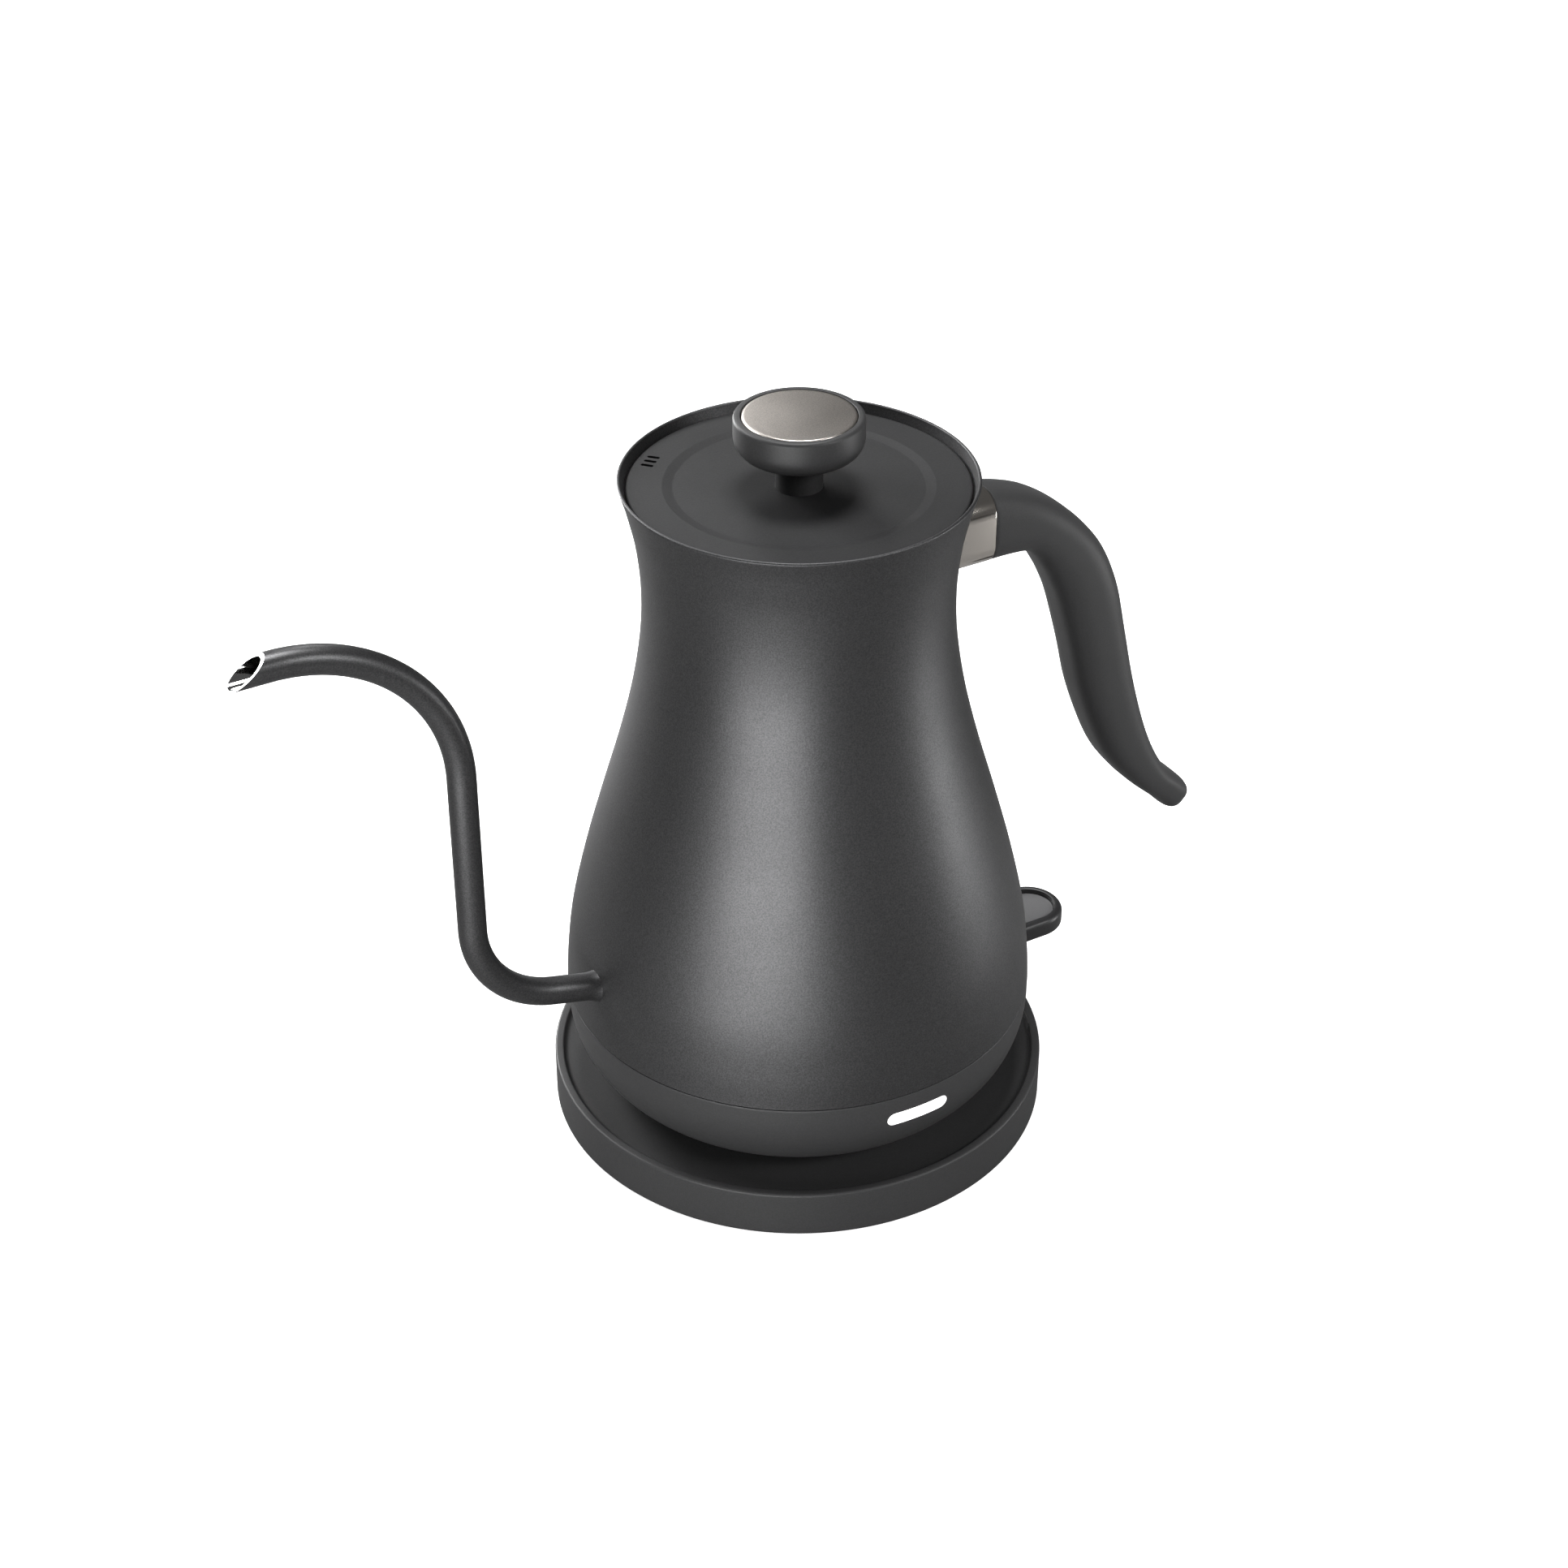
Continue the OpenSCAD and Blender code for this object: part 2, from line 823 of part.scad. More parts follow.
module spout_tube() {
    cut_l = 40;
    n = len(spout_path);
    outer = [for (p = spout_path) spout_ring(p, tube_r + p[3])];
    inner = [for (i = [n - 1 : -1 : 0]) spout_ring(spout_path[i], tube_r - tube_t)];
    color(coat_grey)
    difference() {
        ring_skin(concat(outer, inner), true);
        body_solid(0.01);
        translate([tip_x, 0, tip_z])
            rotate([0, atan(tip_cut), 0])
                translate([-cut_l, -cut_l / 2, -cut_l / 2])
                    cube([cut_l, cut_l, cut_l]);
    }
}

// Straight hole through the shell at the spout's root
module spout_hole() {
    translate([root_end[0], 0, root_end[1]])
        rotate([0, 90 + root_pitch, 0])
            cylinder(r = tube_r - tube_t, h = 22);
}

// ---- Handle ----

// Rounded rectangle in the YZ plane, drawn along X from x0 to x1
module arm_prism(half_w, low, high, corner, x0, x1) {
    translate([x0, 0, 0])
        rotate([90, 0, 90])
            linear_extrude(height = x1 - x0) {
                translate([-half_w + corner, low])
                    square([2 * (half_w - corner), high - low]);
                translate([-half_w, low + corner])
                    square([2 * half_w, high - low - 2 * corner]);
                for (y = [-half_w + corner, half_w - corner], z = [low + corner, high - corner])
                    translate([y, z])
                        circle(r = corner, $fn = 48);
            }
}

arm_low = 164.3;
arm_high = 186.3;
bar_low = 170.5;
bar_high = 180;
bar_half = 5.5;
bar_end = 73;
screw_x = 67;

module handle_bracket() {
    pad_w = 12;
    pad_low = 168;
    pad_h = 14;
    color(steel_grey)
    difference() {
        union() {
            intersection() {
                translate([38, -pad_w / 2, pad_low])
                    cube([12, pad_w, pad_h]);
                difference() {
                    body_solid(1.5);
                    body_solid(0.03);
                }
            }
            difference() {
                translate([40, -bar_half, bar_low])
                    cube([bar_end - 40, 2 * bar_half, bar_high - bar_low]);
                body_solid(0.03);
            }
        }
        translate([screw_x, 0, 160])
            cylinder(r = 2, h = 18);
    }
}

module handle_collar() {
    wall = 1.2;
    color(nickel)
    difference() {
        arm_prism(grip_w, arm_low, arm_high, 6.5, 38, grip_x - 0.02);
        arm_prism(grip_w - wall, arm_low + wall, arm_high - wall, 5.3, 30, grip_x + 1);
        body_solid(0.05);
    }
}

handle_curve = smooth(handle_stations, steps_per_span);

// Corner k of a section of half-depth a and half-width b, measured [depth, width]
function section_point(a, b, k) =
    let (t = 360 * k / handle_sides, p = 2 / grip_square)
    [a * sign(cos(t)) * pow(abs(cos(t)), p), b * sign(sin(t)) * pow(abs(sin(t)), p)];

// Ring of points round a station s, shrunk to part f and moved on by g along the path
function handle_ring(s, f, g) =
    let (
        mid = [(s[0] + s[2]) / 2, (s[1] + s[3]) / 2],
        across = [s[0] - s[2], s[1] - s[3]] / 2,
        depth = norm(across),
        dir = across / depth,
        go = [dir[1], -dir[0]]
    )
    [for (k = [0 : handle_sides - 1])
        let (q = section_point(depth * f, grip_w * f, k))
        [mid[0] + dir[0] * q[0] + go[0] * g, q[1], mid[1] + dir[1] * q[0] + go[1] * g]];

last_station = handle_curve[len(handle_curve) - 1];
handle_rings = concat(
    [for (s = handle_curve) handle_ring(s, 1, 0)],
    [for (i = [1 : cap_steps])
        let (a = 84 * i / cap_steps)
        handle_ring(last_station, cos(a), handle_cap_l * sin(a))]
);

module handle_grip() {
    color(plastic_grey)
    difference() {
        ring_skin(handle_rings, false);
        translate([grip_x - 1, -bar_half - 0.1, bar_low - 0.1])
            cube([bar_end + 0.2 - grip_x + 1, 2 * bar_half + 0.2, bar_high - bar_low + 0.2]);
        translate([screw_x, 0, 155])
            cylinder(r = 2.4, h = 18);
        translate([screw_x, 0, 155])
            cylinder(r = 4.1, h = 12.6);
    }
}

module handle_screw() {
    color(steel_grey)
    translate([screw_x, 0, 167.6])
        screw(3.7, 2, 1.95, 9.4);
}

// ---- Lid ----

module lid_cover() {
    dish_r = 36;
    dish_d = 0.5;
    cover_t = 2.6;
    edge = 0.6;
    slot_turn = 132;
    slot_r = 42.2;
    skin = 1.1;
    color(plastic_grey)
    difference() {
        rotate_extrude($fn = 180)
            polygon(concat(
                [[0, lid_z - cover_t], [lid_r - 0.8, lid_z - cover_t],
                 [lid_r, lid_z - skin], [lid_r, lid_z - edge],
                 [lid_r - edge, lid_z]],
                arc(dish_r, lid_z + 4, 4, 270 + 20, 270, 4),
                [[dish_r - 3, lid_z - dish_d], [0, lid_z - dish_d]]
            ));
        for (i = [-1, 0, 1])
            rotate([0, 0, slot_turn])
                translate([slot_r, i * 2.5, lid_z - 5])
                    stadium(3.6, 1.2, 10);
        translate([0, 0, lid_z - 5])
            cylinder(r = 2.1, h = 10);
    }
}

module lid_liner() {
    top = lid_z - 2.62;
    low = 182.2;
    wall = 0.8;
    cup_r = 41.2;
    edge_r = 43.9;
    color(steel_grey)
    difference() {
        rotate_extrude($fn = 180)
            polygon([
                [0, low], [cup_r - 1.5, low], [cup_r, low + 1.5], [cup_r, top - wall],
                [edge_r, top - wall], [edge_r, top], [cup_r - wall, top],
                [cup_r - wall, low + 1.9], [cup_r - 1.9, low + wall], [0, low + wall]
            ]);
        translate([0, 0, low - 1])
            cylinder(r = 2.1, h = 4);
        around(5, 30)
            translate([0, 0, low - 1])
                cylinder(r = 1.6, h = 4);
    }
}

module lid_gasket() {
    color(rubber_black)
    rotate_extrude($fn = 180)
        polygon([
            [41.25, 188], [42.3, 188], [43.8, 190.5], [42.3, 191.5], [42.3, 196.5],
            [41.25, 196.5]
        ]);
}

module lid_knob() {
    head_low = 211;
    round_r = 5.2;
    round_z = head_low + round_r;
    shoulder_r = 3.2;
    color(plastic_grey)
    difference() {
        rotate_extrude($fn = 120)
            polygon(concat(
                [[0, lid_z - 0.48], [stem_r, lid_z - 0.48], [stem_r, head_low - 1],
                 [stem_r + 1, head_low]],
                arc(knob_r - round_r, round_z, round_r, 270, 360, 8),
                arc(knob_r - shoulder_r, knob_z - shoulder_r, shoulder_r, 0, 60, 5),
                [[15.9, knob_z], [15.6, knob_z - 0.2], [15.6, knob_z - 2], [0, knob_z - 2]]
            ));
        translate([0, 0, 190])
            cylinder(r = 1.75, h = 22);
    }
}

module knob_cap() {
    cap_r = 15.5;
    bevel = 0.35;
    color(nickel)
    rotate_extrude($fn = 120)
        polygon([
            [0, knob_z - 1.98], [cap_r, knob_z - 1.98], [cap_r, knob_z - bevel],
            [cap_r - bevel, knob_z], [0, knob_z]
        ]);
}

module knob_screw() {
    color(steel_grey)
    translate([0, 0, 182.18])
        screw(4, 1.8, 1.7, 28);
}

// ---- The model ----

base_housing();
base_cover();
base_foot_ring();
base_screws();
cord_gland();
connector_body();
connector_contacts();
connector_screws();
terminal_tabs();
coupling_seal();
body_shell();
vessel_floor();
floor_studs();
spout_tube();
steam_tube();
heat_spreader();
heating_element();
base_skirt();
skirt_screws();
light_window();
light_guide();
led_board();
led_leads();
control_housing();
coupling_pin();
coupling_rings();
thermostat_disc();
control_terminals();
control_screws();
switch_bracket();
switch_pivot();
steam_disc();
handle_bracket();
handle_collar();
handle_grip();
handle_screw();
switch_lever();
switch_lens();
lid_cover();
lid_liner();
lid_gasket();
lid_knob();
knob_cap();
knob_screw();
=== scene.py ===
# %% [markdown]
# # A gooseneck kettle on its power base
# The kettle is a pear-shaped steel vessel on a plastic skirt, with a thin bent spout, an open
# J-shaped handle, a rocking switch lever and a lid with a knob. It stands on a round base.
# Nearly every piece is turned, swept or lofted, so a few small builders make them all.
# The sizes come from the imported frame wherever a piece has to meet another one.

# %% Load the frame
import json
import math
import bmesh
import bpy
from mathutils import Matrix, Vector


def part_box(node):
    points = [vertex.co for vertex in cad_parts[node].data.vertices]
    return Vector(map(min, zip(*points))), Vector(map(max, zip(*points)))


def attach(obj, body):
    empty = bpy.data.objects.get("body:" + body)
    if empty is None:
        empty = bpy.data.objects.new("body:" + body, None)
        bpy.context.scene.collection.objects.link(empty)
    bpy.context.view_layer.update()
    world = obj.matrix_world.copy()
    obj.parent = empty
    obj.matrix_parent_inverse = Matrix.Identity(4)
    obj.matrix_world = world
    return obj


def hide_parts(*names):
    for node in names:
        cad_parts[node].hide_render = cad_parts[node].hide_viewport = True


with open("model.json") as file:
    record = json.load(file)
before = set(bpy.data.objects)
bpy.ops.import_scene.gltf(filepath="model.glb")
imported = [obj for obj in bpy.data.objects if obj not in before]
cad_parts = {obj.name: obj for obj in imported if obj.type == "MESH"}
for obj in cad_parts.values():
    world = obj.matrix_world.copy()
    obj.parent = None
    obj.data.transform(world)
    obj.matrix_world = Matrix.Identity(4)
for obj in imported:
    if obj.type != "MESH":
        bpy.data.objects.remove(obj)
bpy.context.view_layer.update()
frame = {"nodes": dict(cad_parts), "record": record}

nodes = frame["nodes"]
MM = 0.001


# %% [markdown]
# ## The camera
# The kettle is seen from above its left side. The camera looks at a point halfway up the
# body, and a long lens keeps the rim and the base nearly parallel. Working the place out from
# an angle and a distance keeps the numbers few, and shows what each of them does.

# %% Camera
AZIMUTH = math.radians(-30.0)
ELEVATION = math.radians(33.33)
CAMERA_DISTANCE = 0.832
TARGET = Vector((-0.0035, 0.002, 0.106))
LENS = 67.18


def direction(azimuth, elevation):
    """Unit vector from the object towards a viewer at these angles."""
    return Vector((
        math.sin(azimuth) * math.cos(elevation),
        -math.cos(azimuth) * math.cos(elevation),
        math.sin(elevation),
    ))


scene = bpy.context.scene
camera_data = bpy.data.cameras.new("camera")
camera_data.lens = LENS
camera_data.sensor_width = 36.0
camera_data.clip_start = 0.01
camera = bpy.data.objects.new("camera", camera_data)
towards_camera = direction(AZIMUTH, ELEVATION)
camera.location = TARGET + towards_camera * CAMERA_DISTANCE
camera.rotation_euler = (-towards_camera).to_track_quat("-Z", "Y").to_euler()
scene.collection.objects.link(camera)
scene.camera = camera
print("camera at", [round(value, 3) for value in camera.location])


# %% [markdown]
# ## Effects that several finishes share
# Moulded plastic, powder coat and blasted metal all carry a fine grain, faint smudges and
# slightly paler edges. Each effect is one shader node group, built once and placed in every
# material with its own values. The groups put out plain numbers, and the shader itself stays
# in the material. Object coordinates are in metres here, so a scale of 2000 is a half
# millimetre grain on every piece alike.

# %% Shared node groups
def group_of(name, inputs, outputs):
    """Empty shader group with float inputs {name: default} and named float outputs."""
    tree = bpy.data.node_groups.new(name, "ShaderNodeTree")
    for socket, default in inputs.items():
        made = tree.interface.new_socket(socket, in_out="INPUT", socket_type="NodeSocketFloat")
        made.default_value = default
    for socket in outputs:
        tree.interface.new_socket(socket, in_out="OUTPUT", socket_type="NodeSocketFloat")
    return tree, tree.nodes.new("NodeGroupInput"), tree.nodes.new("NodeGroupOutput")


def add_noise(tree, detail):
    """Noise node that reads the piece's own coordinates."""
    place = tree.nodes.new("ShaderNodeTexCoord")
    noise = tree.nodes.new("ShaderNodeTexNoise")
    noise.inputs["Detail"].default_value = detail
    tree.links.new(place.outputs["Object"], noise.inputs["Vector"])
    return noise


def add_range(tree, value, low, high, to_low, to_high):
    """Map Range node; to_low and to_high are numbers or sockets."""
    node = tree.nodes.new("ShaderNodeMapRange")
    node.inputs["From Min"].default_value = low
    node.inputs["From Max"].default_value = high
    tree.links.new(value, node.inputs["Value"])
    for socket, bound in (("To Min", to_low), ("To Max", to_high)):
        if isinstance(bound, (int, float)):
            node.inputs[socket].default_value = bound
        else:
            tree.links.new(bound, node.inputs[socket])
    return node.outputs["Result"]


def build_grain():
    """Fine even grain: a height for the bump and a speckle for the colour."""
    tree, start, end = group_of("fine_grain", {"Scale": 2000.0}, ["Height", "Speckle"])
    fine = add_noise(tree, 2.0)
    tree.links.new(start.outputs["Scale"], fine.inputs["Scale"])
    tree.links.new(fine.outputs["Fac"], end.inputs["Height"])
    tree.links.new(add_range(tree, fine.outputs["Fac"], 0.35, 0.65, 0.0, 1.0), end.inputs["Speckle"])
    return tree


def build_smudges():
    """Broad soft patches that carry the roughness between a low and a high value."""
    tree, start, end = group_of(
        "smudges", {"Scale": 30.0, "Low": 0.4, "High": 0.5}, ["Roughness"]
    )
    broad = add_noise(tree, 4.0)
    tree.links.new(start.outputs["Scale"], broad.inputs["Scale"])
    spread = add_range(
        tree, broad.outputs["Fac"], 0.3, 0.7, start.outputs["Low"], start.outputs["High"]
    )
    tree.links.new(spread, end.inputs["Roughness"])
    return tree


def build_edge_wear():
    """Mask that is bright where the surface turns a sharp outer edge, broken up by noise."""
    tree, start, end = group_of("edge_wear", {"Amount": 0.3}, ["Mask"])
    shape = tree.nodes.new("ShaderNodeNewGeometry")
    edge = add_range(tree, shape.outputs["Pointiness"], 0.53, 0.62, 0.0, 1.0)
    patches = add_noise(tree, 3.0)
    patches.inputs["Scale"].default_value = 90.0
    broken = add_range(tree, patches.outputs["Fac"], 0.3, 0.6, 0.3, 1.0)
    mask = edge
    for factor in (broken, start.outputs["Amount"]):
        times = tree.nodes.new("ShaderNodeMath")
        times.operation = "MULTIPLY"
        tree.links.new(mask, times.inputs[0])
        tree.links.new(factor, times.inputs[1])
        mask = times.outputs[0]
    tree.links.new(mask, end.inputs["Mask"])
    return tree


def build_turning():
    """Fine rings round the vertical axis, as a lathe or a spun brush leaves them."""
    tree, start, end = group_of("turning_marks", {"Scale": 1500.0}, ["Height"])
    place = tree.nodes.new("ShaderNodeTexCoord")
    split = tree.nodes.new("ShaderNodeSeparateXYZ")
    flat = tree.nodes.new("ShaderNodeCombineXYZ")
    radius = tree.nodes.new("ShaderNodeVectorMath")
    radius.operation = "LENGTH"
    rings = tree.nodes.new("ShaderNodeCombineXYZ")
    noise = tree.nodes.new("ShaderNodeTexNoise")
    noise.inputs["Detail"].default_value = 3.0
    tree.links.new(place.outputs["Object"], split.inputs[0])
    tree.links.new(split.outputs["X"], flat.inputs["X"])
    tree.links.new(split.outputs["Y"], flat.inputs["Y"])
    tree.links.new(flat.outputs[0], radius.inputs[0])
    tree.links.new(radius.outputs["Value"], rings.inputs["X"])
    tree.links.new(split.outputs["Z"], rings.inputs["Y"])
    tree.links.new(rings.outputs[0], noise.inputs["Vector"])
    tree.links.new(start.outputs["Scale"], noise.inputs["Scale"])
    tree.links.new(noise.outputs["Fac"], end.inputs["Height"])
    return tree


GRAIN = build_grain()
SMUDGES = build_smudges()
EDGE_WEAR = build_edge_wear()
TURNING = build_turning()
print("shared effects:", [tree.name for tree in (GRAIN, SMUDGES, EDGE_WEAR, TURNING)])


# %% [markdown]
# ## One recipe for every finish
# A finish is a base colour with a speckle, a roughness that drifts in broad patches, a grain
# in the bump, and paler or barer metal on the edges. What changes over the surface comes from
# the shared groups. What is the same all over is set straight on the shader's own sockets.

# %% Finish builder
def finish(
    name, color, speckle, roughness, grain=2000.0, bump=0.00002, metallic=0.0,
    wear=0.25, edge=None, turned=0.0, sockets=None,
):
    """Procedural material. roughness is (low, high), and bump is the grain's height in metres."""
    material = bpy.data.materials.new(name)
    material.use_nodes = True
    tree = material.node_tree
    shader = tree.nodes["Principled BSDF"]
    shader.inputs["Metallic"].default_value = metallic
    for socket, value in (sockets or {}).items():
        shader.inputs[socket].default_value = value

    def place(group, **values):
        node = tree.nodes.new("ShaderNodeGroup")
        node.node_tree = group
        for socket, value in values.items():
            node.inputs[socket].default_value = value
        return node

    def mix_colors(factor, first, second):
        node = tree.nodes.new("ShaderNodeMix")
        node.data_type = "RGBA"
        tree.links.new(factor, node.inputs["Factor"])
        if isinstance(first, tuple):
            node.inputs["A"].default_value = (*first, 1.0)
        else:
            tree.links.new(first, node.inputs["A"])
        node.inputs["B"].default_value = (*second, 1.0)
        return node.outputs["Result"]

    fine = place(GRAIN, Scale=grain)
    lighter = tuple(min(1.0, channel * (1.0 + speckle)) for channel in color)
    darker = tuple(channel * (1.0 - speckle) for channel in color)
    surface = mix_colors(fine.outputs["Speckle"], darker, lighter)
    edge_color = edge or tuple(min(1.0, channel * 1.8 + 0.01) for channel in color)
    worn = place(EDGE_WEAR, Amount=wear)
    surface = mix_colors(worn.outputs["Mask"], surface, edge_color)
    tree.links.new(surface, shader.inputs["Base Color"])
    patches = place(SMUDGES, Low=roughness[0], High=roughness[1])
    tree.links.new(patches.outputs["Roughness"], shader.inputs["Roughness"])
    relief = tree.nodes.new("ShaderNodeBump")
    relief.inputs["Distance"].default_value = bump
    relief.inputs["Strength"].default_value = 1.0
    if turned:
        rings = place(TURNING, Scale=turned)
        tree.links.new(rings.outputs["Height"], relief.inputs["Height"])
    else:
        tree.links.new(fine.outputs["Height"], relief.inputs["Height"])
    tree.links.new(relief.outputs["Normal"], shader.inputs["Normal"])
    return material


# %% [markdown]
# ## The finishes of this kettle
# The vessel and the spout wear a satin coat with metal flake in it, so their highlights are
# broad and soft. The plastics are a little darker and flatter. The bright pieces are a warm
# nickel: polished on the handle's sleeve, blasted on the cap of the knob.

# %% Finishes
coated_steel = finish(
    "coated_steel", (0.088, 0.088, 0.090), 0.20, (0.44, 0.50), grain=2600.0,
    bump=0.00002, metallic=0.85, wear=0.2, edge=(0.3, 0.3, 0.3),
)
spout_coat = finish(
    "spout_coat", (0.095, 0.095, 0.097), 0.20, (0.38, 0.44), grain=2600.0,
    bump=0.00002, metallic=0.85, wear=0.0,
)
grey_plastic = finish(
    "grey_plastic", (0.040, 0.040, 0.041), 0.10, (0.46, 0.54), grain=2200.0, bump=0.000015,
)
lid_plastic = finish(
    "lid_plastic", (0.027, 0.027, 0.028), 0.12, (0.54, 0.62), grain=2200.0, bump=0.000015,
    wear=0.1, sockets={"Specular IOR Level": 0.30},
)
dark_plastic = finish(
    "dark_plastic", (0.028, 0.028, 0.029), 0.10, (0.36, 0.44), grain=2400.0, bump=0.00001,
)
soft_grip = finish(
    "soft_grip", (0.038, 0.038, 0.039), 0.08, (0.52, 0.60), grain=3000.0, bump=0.00001,
    wear=0.1,
    sockets={"Sheen Weight": 0.05, "Sheen Roughness": 0.5, "Specular IOR Level": 0.38},
)
nickel_bright = finish(
    "nickel_bright", (0.74, 0.69, 0.63), 0.01, (0.10, 0.15), bump=0.000002, metallic=1.0,
    wear=0.1,
)
nickel_satin = finish(
    "nickel_satin", (0.60, 0.56, 0.52), 0.16, (0.28, 0.34), grain=3600.0, bump=0.000012,
    metallic=1.0, wear=0.3, edge=(0.9, 0.87, 0.82),
)
steel = finish(
    "steel", (0.56, 0.56, 0.57), 0.04, (0.26, 0.36), bump=0.000006, metallic=1.0, turned=1500.0,
)
polished_steel = finish(
    "polished_steel", (0.78, 0.78, 0.78), 0.01, (0.06, 0.12), bump=0.000001, metallic=1.0,
    wear=0.1,
)
aluminium = finish(
    "aluminium", (0.62, 0.62, 0.63), 0.05, (0.34, 0.44), bump=0.000008, metallic=1.0,
    turned=900.0,
)
brass = finish("brass", (0.72, 0.50, 0.20), 0.06, (0.2, 0.32), bump=0.000004, metallic=1.0)
rubber = finish("rubber", (0.018, 0.018, 0.018), 0.12, (0.6, 0.72), grain=1800.0, wear=0.1)
control_plastic = finish("control_plastic", (0.52, 0.50, 0.43), 0.05, (0.4, 0.5), grain=1600.0)
circuit_board = finish("circuit_board", (0.02, 0.14, 0.05), 0.2, (0.2, 0.3), grain=900.0)
lead_red = finish("lead_red", (0.35, 0.02, 0.015), 0.08, (0.45, 0.55))
smoky_lens = finish(
    "smoky_lens", (0.26, 0.26, 0.265), 0.02, (0.05, 0.09), bump=0.000001, wear=0.05,
    sockets={"Transmission Weight": 0.35, "IOR": 1.49, "Coat Weight": 0.6},
)
clear_plastic = finish(
    "clear_plastic", (0.85, 0.88, 0.88), 0.01, (0.04, 0.08), bump=0.000001, wear=0.05,
    sockets={"Transmission Weight": 0.9, "IOR": 1.49},
)
lamp_white = finish(
    "lamp_white", (0.95, 0.95, 0.94), 0.01, (0.3, 0.38), bump=0.000002, wear=0.0,
    sockets={"Emission Color": (1.0, 1.0, 0.98, 1.0), "Emission Strength": 1.6},
)
FINISHES = {
    "coated_steel": coated_steel, "grey_plastic": grey_plastic, "dark_plastic": dark_plastic,
    "soft_grip": soft_grip, "nickel_bright": nickel_bright, "nickel_satin": nickel_satin,
    "steel": steel, "aluminium": aluminium, "brass": brass, "rubber": rubber,
    "control_plastic": control_plastic, "lamp_white": lamp_white,
    "clear_plastic": clear_plastic, "smoky_lens": smoky_lens,
    "circuit_board": circuit_board, "lead_red": lead_red,
}
print(len(FINISHES), "finishes")


# %% [markdown]
# ## Outlines with rounded corners
# No moulded or pressed edge is truly sharp. An outline is given by its corners, and each
# corner has its own radius, which an arc then rounds. That keeps an outline short to read.

# %% Rounded outline
def rounded(corners, closed=True, steps=6):
    """Points of the outline through (x, y, radius) corners, each rounded by an arc."""
    points = []
    count = len(corners)
    for index, (x, y, radius) in enumerate(corners):
        here = Vector((x, y))
        at_end = not closed and index in (0, count - 1)
        if at_end or radius <= 0:
            points.append((x, y))
            continue
        back = Vector(corners[index - 1][:2]) - here
        on = Vector(corners[(index + 1) % count][:2]) - here
        half = back.angle(on) / 2
        reach = min(radius / math.tan(half), 0.49 * back.length, 0.49 * on.length)
        radius = reach * math.tan(half)
        middle = here + (back.normalized() + on.normalized()).normalized() * radius / math.sin(half)
        start = here + back.normalized() * reach - middle
        sweep = start.angle_signed(here + on.normalized() * reach - middle)
        for step in range(steps + 1):
            turn = -sweep * step / steps
            points.append((
                middle.x + start.x * math.cos(turn) - start.y * math.sin(turn),
                middle.y + start.x * math.sin(turn) + start.y * math.cos(turn),
            ))
    return points


def arc(centre, radius, first, last, steps):
    """Points of an arc round centre, from the angle first to last, in degrees."""
    angles = [math.radians(first + (last - first) * step / steps) for step in range(steps + 1)]
    return [(centre[0] + radius * math.cos(a), centre[1] + radius * math.sin(a)) for a in angles]


def smooth_line(points, steps):
    """Catmull-Rom curve through points of any size, with some steps in each span."""
    result = []
    last = len(points) - 1
    for index in range(last):
        a, b = points[max(index - 1, 0)], points[index]
        c, d = points[index + 1], points[min(index + 2, last)]
        for step in range(steps):
            t = step / steps
            result.append(tuple(
                0.5 * (2 * q + (r - p) * t + (2 * p - 5 * q + 4 * r - s) * t * t
                       + (3 * q - p - 3 * r + s) * t ** 3)
                for p, q, r, s in zip(a, b, c, d)
            ))
    result.append(tuple(points[last]))
    return result


# %% [markdown]
# ## Three ways to make a skin
# A turned piece is an outline spun round the vertical axis, and a lofted piece is a row of
# rings joined up. Both give clean rows of four-sided faces, which shade evenly. A turned
# outline first gets extra rows close to its corners and along its long stretches, so that the
# shading of a corner and the wear on it don't spread over the faces next to it. Openings are
# cut afterwards with an exact boolean, because a window rarely falls on the rows. Each mesh
# is checked by its volume: a negative one would mean that its faces look inwards.

# %% Mesh builders
TURN_STEPS = 240


def make_piece(name, points, faces, sharp=32.0):
    """Mesh object from points in millimetres, faces outwards, smooth but for sharp edges."""
    mesh = bpy.data.meshes.new(name)
    mesh.from_pydata([Vector(point) * MM for point in points], [], faces)
    shape = bmesh.new()
    shape.from_mesh(mesh)
    if shape.calc_volume(signed=True) < 0:
        bmesh.ops.reverse_faces(shape, faces=shape.faces)
    shape.to_mesh(mesh)
    shape.free()
    return finish_mesh(bpy.data.objects.new(name, mesh), sharp)


def finish_mesh(piece, sharp=32.0):
    """Link the piece if it's new, and shade it smooth between its sharp edges."""
    if piece.name not in scene.collection.objects:
        scene.collection.objects.link(piece)
    piece.data.polygons.foreach_set("use_smooth", [True] * len(piece.data.polygons))
    piece.data.set_sharp_from_angle(angle=math.radians(sharp))
    return piece


def spaced(outline, closed, near=0.46, longest=6.0):
    """The same outline with extra points near its corners and along its long straight parts."""
    result = []
    count = len(outline)
    for index in range(count if closed else count - 1):
        here, there = Vector(outline[index]), Vector(outline[(index + 1) % count])
        length = (there - here).length
        stops = [0.0]
        if length > 5 * near:
            parts = max(1, math.ceil((length - 2 * near) / longest))
            stops += [near + (length - 2 * near) * part / parts for part in range(parts + 1)]
        result += [tuple(here.lerp(there, stop / length)) for stop in stops]
    return result if closed else result + [outline[-1]]


